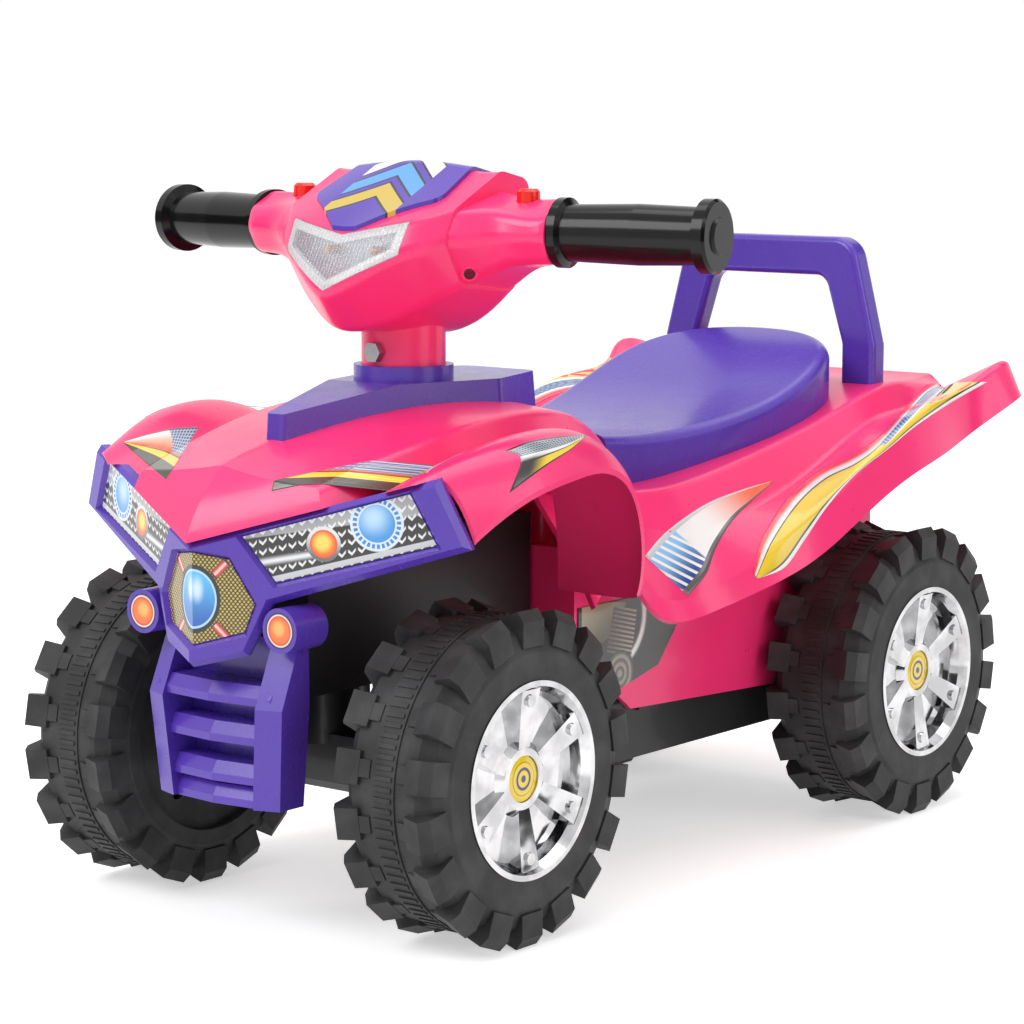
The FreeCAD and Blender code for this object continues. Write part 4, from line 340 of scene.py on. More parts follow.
def finished(name, made, material):
    """A closed bmesh as an object with its finish."""
    bmesh.ops.recalc_face_normals(made, faces=made.faces)
    mesh = bpy.data.meshes.new(name)
    made.to_mesh(mesh)
    made.free()
    piece = linked(name, mesh)
    wear(piece, material)
    return piece


def shade(colour, level):
    """A colour made lighter or darker."""
    return tuple(min(1, part * level) for part in colour)


# Finishes

def moulded(name, colour, roughness, grain=0.000008, gloss=0.4):
    """Glossy moulding: slow flow marks, handling scuffs in the gloss and a faint mould grain."""
    paint = Paint(name, coat_weight=gloss / 2.5, coat_roughness=0.1, specular_ior_level=gloss)
    spot = paint.place()
    flow = paint.noise(spot, 0.014, 3)
    scuff = paint.noise(spot, 0.09, 6)
    paint.set("Base Color", paint.mix(paint.step(flow, 0.3, 0.7), shade(colour, 0.95), shade(colour, 1.04)))
    paint.set("Roughness", roughness + (scuff - 0.5) * 0.12)
    paint.bump(paint.noise(spot, 0.35, 2), grain)
    return paint


def blown(name, colour):
    """Blow-moulded tyre: dull, with a sandy grain and paler rubbed high spots."""
    paint = Paint(name, specular_ior_level=0.3)
    spot = paint.place()
    dust = paint.noise(spot, 0.05, 5)
    grain = paint.noise(spot, 1.3, 3)
    paint.set("Base Color", paint.mix(paint.step(dust, 0.35, 0.75), shade(colour, 0.8), shade(colour, 1.6)))
    paint.set("Roughness", 0.5 + grain * 0.16)
    paint.bump(grain, 0.0002)
    return paint


def metallised(name, colour, roughness):
    """Vacuum-metallised plastic: bright, with faint waves of the moulding under it."""
    paint = Paint(name, metallic=1.0)
    spot = paint.place()
    haze = paint.noise(spot, 0.06, 4)
    paint.set("Base Color", paint.mix(paint.step(haze, 0.35, 0.65), shade(colour, 0.78), shade(colour, 1.1)))
    paint.set("Roughness", roughness + haze * 0.05)
    paint.bump(paint.noise(spot, 0.05, 1), 0.0005)
    return paint


def plated(name, colour):
    """Zinc-plated steel with drawn lines and cloudy passivation."""
    paint = Paint(name, metallic=1.0)
    spot = paint.place()
    cloud = paint.noise(spot, 0.12, 4)
    drawn = paint.noise(spot, 2.2, 2)
    paint.set("Base Color", paint.mix(cloud, shade(colour, 0.75), shade(colour, 1.1)))
    paint.set("Roughness", 0.28 + drawn * 0.2)
    paint.bump(drawn, 0.00003)
    return paint


# Printed films: a flat drawing in millimetres, laid on a panel

def printed(name, roughness=0.16):
    """The finish of a glossy film, before its drawing."""
    return Paint(name, coat_weight=0.4, coat_roughness=0.08, roughness=roughness)


def within(paint, value, limit, blur=0.2):
    """1 where a value is under a limit, with a soft edge."""
    return 1 - paint.step(value, limit - blur, limit + blur)


def between(paint, value, low, high, blur=0.012):
    """1 where a value lies between two limits, with soft edges."""
    return paint.step(value, low - blur, low + blur) * within(paint, value, high, blur)


def reach(u, v, centre, stretch=1.0):
    """Distance from a point, with heights divided by a stretch."""
    across = u - centre[0]
    up = (v - centre[1]) / stretch
    return (across * across + up * up) ** 0.5


def beside(u, v, first, second):
    """Distance to the left of the line from one point to another."""
    along = (Vector(second) - Vector(first)).normalized()
    return (v - first[1]) * along.x - (u - first[0]) * along.y


def outline_depth(u, v, corners):
    """Distance inside a convex outline whose corners run anticlockwise."""
    depth = beside(u, v, corners[-1], corners[0])
    for first, second in zip(corners, corners[1:]):
        depth = depth & beside(u, v, first, second)
    return depth


def chevrons(paint, u, v, pitch):
    """Rows of small V marks."""
    across = abs((u / pitch) % 1 - 0.5)
    return within(paint, (v / pitch - across) % 1, 0.3, 0.05) * within(paint, across, 0.38, 0.05)


def staggered_dots(paint, u, v, pitch):
    """Round dots in staggered rows."""
    row = v / (pitch * 0.6)
    count = paint.maths("FLOOR", row)
    across = (u / pitch + count * 0.5) % 1 - 0.5
    up = (row % 1 - 0.5) * 0.6
    return within(paint, (across * across + up * up) ** 0.5, 0.27, 0.05)


def fine_mesh(paint, u, v, light, dark):
    """Printed wire mesh, with a wire at each whole number."""
    across = abs(u % 1 - 0.5)
    up = abs(v % 1 - 0.5)
    return paint.mix(within(paint, across | up, 0.34, 0.06), light, dark)


def lamp_print(name, side, colours):
    """Headlamp picture: marks on black, a gloss band, a silver bar, a blue lamp and an orange one."""
    paint = printed(name)
    x, v = paint.split(paint.place(PROW, (0, 0, side * MASK_SWEEP)), "XZ")
    u = abs(x)
    slope = v - u * MARK_RISE
    marks = chevrons(paint, u, slope, 5.2)
    film = paint.mix(marks, (0.025, 0.024, 0.024), (0.8, 0.8, 0.78))
    gloss = paint.step(v - u * GLOSS_RISE, 205.5, 206.2)
    film = paint.mix(gloss * 0.8, film, paint.mix(marks, (0.5, 0.51, 0.52), (0.86, 0.87, 0.88)))
    bar = abs(v - u * BAR_RISE - 191.9)
    silver = paint.mix(paint.step(bar, 0, 2.4), (0.85, 0.86, 0.87), (0.12, 0.12, 0.13))
    film = paint.mix(within(paint, bar, 2.5) * within(paint, u, 66), film, silver)
    strip = abs(slope - 179.2)
    film = paint.mix(within(paint, strip, 1.5), film, colours.silver)
    blue = reach(u, v, BLUE_LAMP)
    turn = paint.maths("ARCTAN2", v - BLUE_LAMP[1], u - BLUE_LAMP[0])
    dashes = within(paint, (turn * (LAMP_DASHES / math.tau)) % 1, 0.6, 0.08)
    dashes = dashes * within(paint, abs(blue - 11.5), 1.1)
    ring = paint.mix(dashes, (0.72, 0.8, 0.88), shade(colours.blue, 0.8))
    film = paint.mix(within(paint, blue, 14), film, ring)
    glass = paint.mix(paint.step(reach(u, v, BLUE_SHINE), 1, 12), (0.5, 0.74, 0.95), colours.blue)
    film = paint.mix(within(paint, blue, 9.5), film, glass)
    amber = reach(u, v, AMBER_LAMP)
    rim = paint.mix(paint.step(v, 203, 216), (0.16, 0.16, 0.17), (0.8, 0.8, 0.81))
    film = paint.mix(within(paint, amber, 9), film, rim)
    film = paint.mix(within(paint, amber, 7.2), film, (0.75, 0.09, 0.02))
    film = paint.mix(within(paint, amber, 6.4, 0.8), film, colours.orange)
    film = paint.mix(within(paint, reach(u, v, AMBER_SHINE), 4.4, 2.2), film, (1.0, 0.72, 0.12))
    paint.set("Base Color", film)
    return paint


def emblem_print(name, colours):
    """Plain oval jewel with four studs on gold mesh."""
    paint = printed(name)
    x, v = paint.split(paint.place(), "XZ")
    u = abs(x) / math.cos(MASK_SWEEP)
    dots = staggered_dots(paint, u, v, 2.3)
    film = paint.mix(dots, (0.05, 0.04, 0.015), colours.gold)
    up = abs(v - JEWEL[1])
    lean = ((u - STUD[0]) + (up - STUD[1])) * DIAGONAL
    width = abs((u - STUD[0]) - (up - STUD[1])) * DIAGONAL
    stud = abs(lean) | width * 2.1
    film = paint.mix(within(paint, stud, 5.2), film, (0.05, 0.01, 0.01))
    shine = paint.mix(within(paint, width, 0.8, 0.5), (0.6, 0.05, 0.04), (0.95, 0.55, 0.5))
    film = paint.mix(within(paint, stud, 4.5), film, shine)
    jewel = reach(u, v, JEWEL, 1.18)
    film = paint.mix(within(paint, jewel, 15), film, (0.012, 0.012, 0.014))
    film = paint.mix(within(paint, jewel, 13), film, (0.45, 0.72, 0.95))
    glow = paint.mix(paint.step(v, 166, 192), (0.02, 0.13, 0.5), (0.1, 0.5, 0.9))
    film = paint.mix(within(paint, jewel, 12), film, glow)
    film = paint.mix(within(paint, reach(u, v, JEWEL_SHINE, 2.0), 2.6, 2) * 0.8, film, (0.8, 0.92, 1.0))
    paint.set("Base Color", film)
    return paint


def engine_print(name):
    """Picture of an engine: a tank, a finned cylinder, a bright pipe and a round cover on black."""
    paint = printed(name, 0.22)
    u, v = paint.split(paint.place(), "YZ")
    dust = paint.noise(paint.place(), 0.12, 4)
    film = paint.mix(dust, (0.008, 0.007, 0.006), (0.025, 0.022, 0.02))
    tank = outline_depth(u, v, TANK)
    gold = paint.mix(paint.step(v - u * 0.4, 150, 178), (0.09, 0.075, 0.04), (0.42, 0.38, 0.24))
    film = paint.mix(within(paint, 0 - tank, 0), film, gold)
    fins = outline_depth(u, v, CYLINDER)
    blades = within(paint, ((v + u * 0.25) / FIN_PITCH) % 1, 0.5, 0.1)
    lit = paint.mix(paint.step(u, -42, -16), (0.12, 0.09, 0.06), (0.4, 0.33, 0.25))
    metal = paint.mix(blades, (0.03, 0.025, 0.02), lit)
    film = paint.mix(within(paint, 0 - fins, 0), film, metal)
    pipe = abs(reach(u, v, PIPE) - PIPE_RADIUS)
    bright = paint.mix(paint.step(pipe, 0.4, 3), (0.85, 0.85, 0.82), (0.07, 0.065, 0.06))
    film = paint.mix(within(paint, pipe, 3.2) * paint.step(u, -20, -18), film, bright)
    cover = reach(u, v, COVER)
    rings = within(paint, (cover / COVER_PITCH) % 1, 0.5, 0.12)
    plate = paint.mix(rings, (0.1, 0.09, 0.075), (0.3, 0.27, 0.22))
    film = paint.mix(within(paint, cover, 13.4), film, (0.03, 0.03, 0.03))
    film = paint.mix(within(paint, cover, 12.4), film, plate)
    paint.set("Base Color", film)
    return paint


def fog_print(name, colours):
    """Orange lens with a pale rim inside a dark ring."""
    paint = printed(name, 0.12)
    x, v = paint.split(paint.place(), "XZ")
    spot = reach(abs(x), v, FOG_LAMP)
    film = paint.mix(within(paint, spot, 8.4), (0.02, 0.02, 0.02), (0.72, 0.7, 0.66))
    film = paint.mix(within(paint, spot, 7.6), film, (0.72, 0.05, 0.012))
    film = paint.mix(within(paint, spot, 6.6, 0.7), film, colours.orange)
    film = paint.mix(within(paint, reach(abs(x), v, FOG_SHINE), 3.6, 1.8), film, (1.0, 0.45, 0.1))
    paint.set("Base Color", film)
    return paint


def ribbed_lens(name):
    """Clear lens with fine upright flutes inside a stippled border."""
    paint = Paint(name, roughness=0.07, coat_weight=0.3)
    spot = paint.place()
    x, v = paint.split(spot, "XZ")
    u = abs(x)
    depth = outline_depth(u, v, LENS)
    border = within(paint, depth, LENS_BORDER, 0.5)
    grain = paint.noise(spot, 0.9, 2)
    flutes = abs((x / FLUTE_PITCH) % 1 - 0.5)
    paint.set("Base Color", paint.mix(border, (0.72, 0.84, 0.92), (0.85, 0.86, 0.88)))
    paint.set("Alpha", 0.16 + flutes * 0.26 + border * (0.2 + grain * 0.3))
    paint.bump(border * grain + (1 - border) * flutes, 0.0009)
    return paint


def cap_print(name, colours):
    """Purple moulding with three plain chevrons printed on it."""
    paint = moulded(name, colours.purple, 0.27)
    x, y = paint.split(paint.place(COLUMN), "XY")
    slant = y + abs(x) * 0.75
    side = within(paint, abs(x), 25, 0.3)
    film = paint.colour()
    for middle, colour in ((-17, colours.gold), (1, (0.1, 0.35, 0.75)), (19, (0.8, 0.8, 0.82))):
        for half, ink in ((7, NIGHT), (5.5, colour)):
            stripe = between(paint, slant, middle - half, middle + half, 0.25)
            film = paint.mix(stripe * side, film, ink)
    paint.set("Base Color", film)
    return paint


def capped(name, colours):
    """Yellow cap with a plain dark ring and dot, and a thin ring of painted shade near its rim."""
    paint = printed(name, 0.2)
    y, z = paint.split(paint.place(), "YZ")
    spot = reach(abs(y), z, (WHEEL_Y / MM, WHEEL_Z / MM))
    ring = within(paint, abs(spot - 5.2), 0.8) | within(paint, spot, 1.9)
    film = paint.mix(ring, colours.yellow, (0.03, 0.05, 0.2))
    # A thin darker yellow ring near the rim: painted shade at the cap's edge.
    edge = within(paint, abs(spot - 8.6), 0.35)
    paint.set("Base Color", paint.mix(edge, film, shade(colours.yellow, 0.55)))
    return paint


# Stickers: strips between lines of the photograph, in its pixels, laid on the shells they cover

TAIL_LINES = (
    ((753, 572), (761, 540), (786, 500), (815, 473), (850, 455),
     (874, 441), (903, 411), (923, 391), (940, 382)),
    ((757, 578), (775, 543), (800, 507), (827, 482), (857, 466),
     (882, 446), (908, 417), (928, 395), (948, 382.5)),
    ((763, 577), (785, 567), (805, 539), (826, 508), (855, 475),
     (889, 448), (917, 425), (952, 402), (987, 382)),
)
SKIRT_LINES = (
    ((772.6, 481), (743, 489.5), (711, 501.5), (684, 518), (662, 536), (645, 556)),
    ((772.6, 482.5), (753, 500), (733, 520), (716, 548), (706, 574), (688, 596)),
)
FRONT_LINES = (
    ((123.5, 443), (137, 455), (151, 467), (166, 479.5)),
    ((124, 442.5), (146, 446), (166, 450), (181, 456)),
    ((124.5, 442), (148, 434.5), (172, 429), (199, 427)),
)
FENDER_LINES = (
    ((586, 435), (559, 437), (530, 441.5), (506, 450.5)),
    ((585, 436.5), (566, 445.5), (546, 452), (521, 459)),
    ((584, 437.5), (571, 449.5), (545, 466.5), (509.5, 493)),
)


def line_point(points, share):
    """A point on the smooth curve through some points."""
    place = share * (len(points) - 1)
    index = min(int(place), len(points) - 2)
    t = place - index
    start, end = points[index], points[index + 1]
    before = points[index - 1] if index else 2 * start - end
    after = points[index + 2] if index + 2 < len(points) else 2 * end - start
    return 0.5 * (2 * start + (end - before) * t + (2 * before - 5 * start + 4 * end - after) * t * t
                  + (3 * start - before - 3 * end + after) * t ** 3)


def shell_tree(names):
    """The facets of some CAD nodes, for finding points on them."""
    points, facets = [], []
    for name in names:
        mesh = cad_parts[name].data
        first = len(points)
        points.extend(vertex.co.copy() for vertex in mesh.vertices)
        facets.extend([first + index for index in face.vertices] for face in mesh.polygons)
    return BVHTree.FromPolygons(points, facets)


def on_shell(tree, studio, pixel):
    """The point and outward direction of a shell behind a pixel of the photograph."""
    right, up, back = camera_axes(studio)
    scale = SENSOR / studio.lens / PHOTO
    aim_at = right * ((pixel.x - PHOTO / 2) * scale) + up * ((PHOTO / 2 - pixel.y) * scale) - back
    start = Vector(studio.camera_place)
    hit, normal, *_ = tree.ray_cast(start, aim_at.normalized())
    if hit is None:
        hit, normal, *_ = tree.find_nearest(start + aim_at.normalized() * BIKE_DISTANCE)
    if normal.dot(aim_at) > 0:
        normal = -normal
    return hit, normal


def sticker(name, lines, tree, material, details, studio, steps=(36, 14)):
    """A thin film between lines of pixels, and its mirror image on the other side."""
    curves = [[Vector(point) for point in line] for line in lines]
    along, over = steps
    sheet = []
    for row in range(along + 1):
        ribs = [line_point(curve, row / along) for curve in curves]
        for column in range(over + 1):
            place, normal = on_shell(tree, studio, line_point(ribs, column / over))
            sheet.append((place + normal * details.film, place - normal * details.film_root,
                          (row / along, column / over)))
    made = bmesh.new()
    layer = made.loops.layers.uv.new("film")
    width = over + 1
    for flip in (1, -1):
        mirror = Matrix.Diagonal((flip, 1, 1))
        top = [made.verts.new(mirror @ point[0]) for point in sheet]
        root = [made.verts.new(mirror @ point[1]) for point in sheet]
        faces = []
        for row in range(along):
            for column in range(over):
                corner = row * width + column
                loop = [corner, corner + width, corner + width + 1, corner + 1]
                faces.append(([top[index] for index in loop], loop))
                faces.append(([root[index] for index in reversed(loop)], loop[::-1]))
        rim = list(range(over)) + [row * width + over for row in range(along)]
        rim += [along * width + column for column in range(over, 0, -1)]
        rim += [row * width for row in range(along, 0, -1)]
        for first, second in zip(rim, rim[1:] + rim[:1]):
            wall = [top[first], top[second], root[second], root[first]]
            faces.append((wall, [first, second, second, first]))
        for corners, indices in faces:
            face = made.faces.new(corners)
            for loop, index in zip(face.loops, indices):
                loop[layer].uv = sheet[index][2]
    piece = finished(name, made, material)
    for face in piece.data.polygons:
        face.use_smooth = True
    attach(piece, "frame")


def film_paint(name):
    """A sticker's finish, and its own coordinates along and across."""
    paint = printed(name, 0.2)
    return paint, *paint.split(paint.sheet("film"), "XY")


def tail_film(colours):
    """Leaf with a white border that crosses over into a meshed flag, beside a red fade."""
    paint, u, v = film_paint("tail_film")
    fade = paint.mix(paint.step(v, 0.0, 0.2), colours.pink, RED_INK)
    fade = paint.mix(paint.step(v, 0.14, 0.3), fade, (0.95, 0.9, 0.88))
    film = paint.mix(paint.step(v, 0.29, 0.31), fade, PAPER)
    film = paint.mix(between(paint, v, 0.38, 0.93), film, SOOT)
    leaf = paint.mix(paint.step(v, 0.55, 0.95), colours.yellow, shade(colours.yellow, 0.8))
    film = paint.mix(between(paint, v, 0.42, 0.89), film, leaf)
    flag = fine_mesh(paint, u * 90, v * 18, (0.35, 0.5, 0.75), (0.04, 0.06, 0.14))
    flag = paint.mix(paint.step(u, 0.75, 1.0), flag, paint.mix(0.5, flag, (0.6, 0.72, 0.85)))
    upper = paint.step(u, 0.62, 0.64)
    film = paint.mix(upper * between(paint, v, 0.34, 0.62), film, flag)
    film = paint.mix(upper * between(paint, v, 0.62, 0.67), film, PAPER)
    paint.set("Base Color", film)
    return paint.material


def rear_flash(colours):
    """Meshed head, white band and yellow blade that runs to a dark point."""
    paint, u, v = film_paint("rear_flash_film")
    mesh = fine_mesh(paint, u * 26, v * 13, (0.45, 0.5, 0.55), (0.1, 0.12, 0.15))
    film = paint.mix(paint.step(v, 0.04, 0.07), (0.06, 0.05, 0.05), mesh)
    film = paint.mix(paint.step(v, 0.42, 0.45), film, (0.9, 0.9, 0.88))
    film = paint.mix(paint.step(v, 0.56, 0.59), film, SOOT)
    film = paint.mix(between(paint, v, 0.63, 0.94), film, colours.yellow)
    point = paint.step(u, 0.62, 0.86) * paint.step(v, 0.45, 0.6)
    film = paint.mix(point, film, (0.03, 0.02, 0.025))
    film = paint.mix(within(paint, u, 0.03, 0.03), film, (0.3, 0.28, 0.2))
    paint.set("Base Color", film)
    return paint.material


def front_flash(colours):
    """Dark edge, yellow blade, a fade from red to white and a meshed tail."""
    paint, u, v = film_paint("front_flash_film")
    fade = paint.mix(paint.step(v, 0.5, 0.72), (0.9, 0.12, 0.03), (0.95, 0.45, 0.3))
    fade = paint.mix(paint.step(v, 0.7, 0.9), fade, (0.88, 0.86, 0.84))
    film = paint.mix(paint.step(v, 0.46, 0.48), SOOT, fade)
    film = paint.mix(between(paint, v, 0.28, 0.44), film, colours.yellow)
    mesh = fine_mesh(paint, u * 24, v * 18, (0.5, 0.62, 0.78), (0.08, 0.12, 0.22))
    tail = paint.step(u + v * 0.3, 0.92, 0.94) * paint.step(v, 0.5, 0.52)
    film = paint.mix(tail, film, mesh)
    film = paint.mix(paint.step(v, 0.96, 0.98), film, (0.15, 0.14, 0.13))
    paint.set("Base Color", film)
    return paint.material


def skirt_film(colours):
    """Plain swoosh from red to white with silver and dark edges and blue bars at its root."""
    paint, u, v = film_paint("skirt_film")
    film = paint.mix(paint.step(u, 0.15, 0.55), (0.95, 0.13, 0.04), (0.93, 0.9, 0.88))
    bars = within(paint, (u * 18 + v * 2) % 1, 0.62, 0.06)
    blue = paint.mix(paint.step(v, 0.2, 0.9), (0.25, 0.55, 0.9), (0.03, 0.07, 0.3))
    film = paint.mix(paint.step(u, 0.7, 0.72) * bars, film, blue)
    film = paint.mix(within(paint, v, 0.1, 0.015), film, colours.silver)
    film = paint.mix(paint.step(v, 0.86, 0.88), film, (0.14, 0.13, 0.13))
    paint.set("Base Color", film)
    return paint.material


RECESS_PIXEL = (469.5, 274)
RECESS_PROFILE = ((0.0, 0.0001), (0.0016, 0.0002), (0.0028, 0.0001), (0.0036, 0.0006), (0.0042, 0.0006),
                  (0.0047, -0.0003), (0.0, -0.0003))


def recess_shade_finish(colours):
    """Painted shade: a dark pink bottom of a screw recess, inside a rim of the shell's own colour."""
    paint = moulded("recess_shade_finish", colours.pink, 0.3)
    [spread] = paint.split(paint.sheet("film"), "X")
    # The dark pink inside the rim is painted shade that stands in for the recess's depth.
    paint.set("Base Color", paint.mix(within(paint, spread, 0.68, 0.05), paint.colour(), (0.1, 0.004, 0.015)))
    return paint.material


def screw_recesses(tree, studio, material, segments=32):
    """A turned recess on each side of the pod, square to the shell under it."""
    place, normal = on_shell(tree, studio, Vector(RECESS_PIXEL))
    across = normal.orthogonal().normalized()
    other = normal.cross(across)
    widest = max(radius for radius, height in RECESS_PROFILE)
    made = bmesh.new()
    layer = made.loops.layers.uv.new("film")
    for flip in (1, -1):
        mirror = Matrix.Diagonal((flip, 1, 1))
        rings = []
        for radius, height in RECESS_PROFILE:
            steps = segments if radius else 1
            ring = []
            for step in range(steps):
                turn = math.tau * step / steps
                spoke = across * math.cos(turn) + other * math.sin(turn)
                ring.append(made.verts.new(mirror @ (place + normal * height + spoke * radius)))
            rings.append((ring, radius / widest))
        for (inner, low), (outer, high) in zip(rings, rings[1:]):
            for step in range(segments):
                after = (step + 1) % segments
                corners = [(inner[step % len(inner)], low), (outer[step % len(outer)], high),
                           (outer[after % len(outer)], high), (inner[after % len(inner)], low)]
                corners = [pair for index, pair in enumerate(corners) if pair[0] not in
                           [earlier[0] for earlier in corners[:index]]]
                face = made.faces.new([vertex for vertex, share in corners])
                for loop, (vertex, share) in zip(face.loops, corners):
                    loop[layer].uv = (share, 0)
    piece = finished("screw_recesses", made, material)
    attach(piece, "steering")


# Tread: small ribs that a node tree sets round each tyre

RUNG_INPUTS = {
    "Count": "NodeSocketInt",
    "Radius": "NodeSocketFloat",
    "Height": "NodeSocketFloat",
    "Thickness": "NodeSocketFloat",
    "Width": "NodeSocketFloat",
    "Centre": "NodeSocketVector",
}


def rung_tree(material):
    """Node tree that sets blocks on a circle and turns it on to an axle."""
    tree = bpy.data.node_groups.new("tread_rungs", "GeometryNodeTree")
    sockets = {}
    for name, kind in RUNG_INPUTS.items():
        sockets[name] = tree.interface.new_socket(name, in_out="INPUT", socket_type=kind).identifier
    tree.interface.new_socket("Geometry", in_out="OUTPUT", socket_type="NodeSocketGeometry")

    def node(kind, **settings):
        made = tree.nodes.new(kind)
        for name, value in settings.items():
            setattr(made, name, value)
        return made

    source = node("NodeGroupInput")
    circle = node("GeometryNodeMeshCircle")
    block = node("GeometryNodeMeshCube")
    size = node("ShaderNodeCombineXYZ")
    spot = node("GeometryNodeInputPosition")
    turn = node("FunctionNodeAlignRotationToVector", axis="X", pivot_axis="Z")
    ring = node("GeometryNodeInstanceOnPoints")
    whole = node("GeometryNodeTransform")
    real = node("GeometryNodeRealizeInstances")
    dress = node("GeometryNodeSetMaterial")
    result = node("NodeGroupOutput")
    whole.inputs["Rotation"].default_value = (0, math.pi / 2, 0)
    dress.inputs["Material"].default_value = material
    for first, second in (
            (source.outputs["Count"], circle.inputs["Vertices"]),
            (source.outputs["Radius"], circle.inputs["Radius"]),
            (source.outputs["Height"], size.inputs["X"]),
            (source.outputs["Thickness"], size.inputs["Y"]),
            (source.outputs["Width"], size.inputs["Z"]),
            (size.outputs[0], block.inputs["Size"]),
            (spot.outputs[0], turn.inputs["Vector"]),
            (circle.outputs["Mesh"], ring.inputs["Points"]),
            (block.outputs["Mesh"], ring.inputs["Instance"]),
            (turn.outputs[0], ring.inputs["Rotation"]),
            (ring.outputs[0], whole.inputs["Geometry"]),
            (source.outputs["Centre"], whole.inputs["Translation"]),
            (whole.outputs[0], real.inputs[0]),
            (real.outputs[0], dress.inputs["Geometry"]),
            (dress.outputs[0], result.inputs[0])):
        tree.links.new(first, second)
    return tree, sockets


def tread_rungs(corner, tree, sockets, details, material):
    """The rungs of one tyre as a plain mesh that rolls with it."""
    across = WHEEL_X if corner.endswith("left") else -WHEEL_X
    back = WHEEL_Y if corner.startswith("rear") else -WHEEL_Y
    name = f"tread_rungs_{corner}"
    piece = linked(name, bpy.data.meshes.new(name))
    modifier = piece.modifiers.new("rungs", "NODES")
    modifier.node_group = tree
    values = {
        "Count": details.rungs,
        "Radius": details.rung_radius,
        "Height": details.rung_height,
        "Thickness": details.rung_thickness,
        "Width": details.rung_width,
        "Centre": (across, back, WHEEL_Z),
    }
    for label, value in values.items():
        modifier[sockets[label]] = value
    graph = bpy.context.evaluated_depsgraph_get()
    mesh = bpy.data.meshes.new_from_object(piece.evaluated_get(graph))
    if not mesh.polygons:
        raise RuntimeError(f"{name} came out empty")
    piece.modifiers.remove(modifier)
    piece.data = mesh
    mesh.name = name
    wear(piece, material)
    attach(piece, f"wheel_{corner}")


# Stage

def area_lamp(name, place, target, width, depth, power):
    """A soft lamp that looks at a point."""
    lamp = bpy.data.lights.new(name, "AREA")
    lamp.shape = "RECTANGLE"
    lamp.size = width
    lamp.size_y = depth
    lamp.energy = power
    made = linked(name, lamp)
    made.location = place
    made.rotation_euler = (Vector(target) - made.location).to_track_quat("-Z", "Y").to_euler()


def studio_world(level):
    """White to the camera, glass and metal; plain soft light to everything else."""
    world = bpy.data.worlds.new("studio")
    world.use_nodes = True
    board = Board(world.node_tree)
    white = board.tree.nodes["Background"]
    white.inputs["Color"].default_value = (1, 1, 1, 1)
    white.inputs["Strength"].default_value = 1
    lit = board.node("ShaderNodeBackground", (), {"Color": (1, 1, 1, 1), "Strength": level})
    seen = Wire(board, white.outputs[0])
    shown = board.node("ShaderNodeMixShader", (), {0: board.seen_rays(), 1: lit, 2: seen})
    board.finish("World Output", shown)
    bpy.context.scene.world = world


def floor_finish(glow):
    """Pale floor that keeps its shadow and runs out into the white background."""
    paint = Paint("floor_paint", roughness=0.6, specular_ior_level=0.2)
    spot = paint.place()
    paint.set("Base Color", paint.mix(paint.noise(spot, 0.004, 2), (0.9, 0.9, 0.9), (0.93, 0.93, 0.93)))
    plain = Wire(paint, paint.shader.outputs[0])
    lamp = paint.node("ShaderNodeEmission", (), {"Strength": glow})
    bright = paint.node("ShaderNodeAddShader", (), {0: plain, 1: lamp})
    shown = paint.node("ShaderNodeMixShader", (), {0: paint.seen_rays(), 1: plain, 2: bright})
    paint.finish("Material Output", shown)
    return paint.material


def plain_sheet(name, corners):
    """A single face that belongs to the stage."""
    mesh = bpy.data.meshes.new(name)
    mesh.from_pydata(corners, [], [tuple(range(len(corners)))])
    sheet = linked(name, mesh)
    return sheet


def studio_floor(glow):
    """A floor wide enough to run out of the picture."""
    half = 12.0
    floor = plain_sheet("floor", [(-half, -half, 0), (half, -half, 0), (half, half, 0), (-half, half, 0)])
    wear(floor, floor_finish(glow))


def dark_card(name, place, along, low, high, material):
    """An upright dark card that only reflections see, so that the chrome has something to show."""
    place, along = Vector(place), Vector(along)
    card = plain_sheet(name, [place - along + Vector((0, 0, low)), place + along + Vector((0, 0, low)),
                              place + along + Vector((0, 0, high)), place - along + Vector((0, 0, high))])
    wear(card, material)
    card.visible_camera = False
    card.visible_diffuse = False
    card.visible_shadow = False
    card.visible_transmission = False


def camera_axes(studio):
    """Right, up and back of the photograph's view."""
    back = Vector((math.sin(studio.azimuth) * math.cos(studio.pitch),
                   -math.cos(studio.azimuth) * math.cos(studio.pitch), math.sin(studio.pitch)))
    level = Vector((math.cos(studio.azimuth), math.sin(studio.azimuth), 0))
    above = back.cross(level)
    right = level * math.cos(studio.roll) + above * math.sin(studio.roll)
    return right, back.cross(right), back


def studio_camera(studio):
    """The camera that was solved from the photograph."""
    lens = bpy.data.cameras.new("camera")
    lens.lens = studio.lens
    lens.sensor_width = SENSOR
    lens.clip_end = 50
    camera = linked("camera", lens)
    right, up, back = camera_axes(studio)
    turn = Matrix((right, up, back)).transposed().to_4x4()
    camera.matrix_world = Matrix.Translation(studio.camera_place) @ turn
    bpy.context.scene.camera = camera


class QUAD_OT_stage(bpy.types.Operator):
    """Pale floor, soft lamps and the camera at the photograph's angle"""

    bl_idname = "quad.stage"
    bl_label = "Stage"

    def execute(self, context):
        studio = context.scene.quad_studio
        context.scene.view_settings.view_transform = "Standard"
        studio_world(studio.world)
        studio_floor(studio.floor_glow)
        black = Paint("card_black", base_color=(0.02, 0.02, 0.02, 1), roughness=0.9).material
        for name, card in CARDS.items():
            dark_card(name, *card, black)
        middle = (0, 0, 0.2)
        area_lamp("key_lamp", (-0.5, -1.7, 1.6), middle, 1.4, 1.0, studio.key)
        area_lamp("fill_lamp", (2.0, 0.2, 0.9), middle, 1.0, 1.4, studio.fill)
        area_lamp("top_lamp", (0.1, 0.3, 2.0), middle, 1.6, 1.6, studio.top)
        studio_camera(studio)
        return {"FINISHED"}


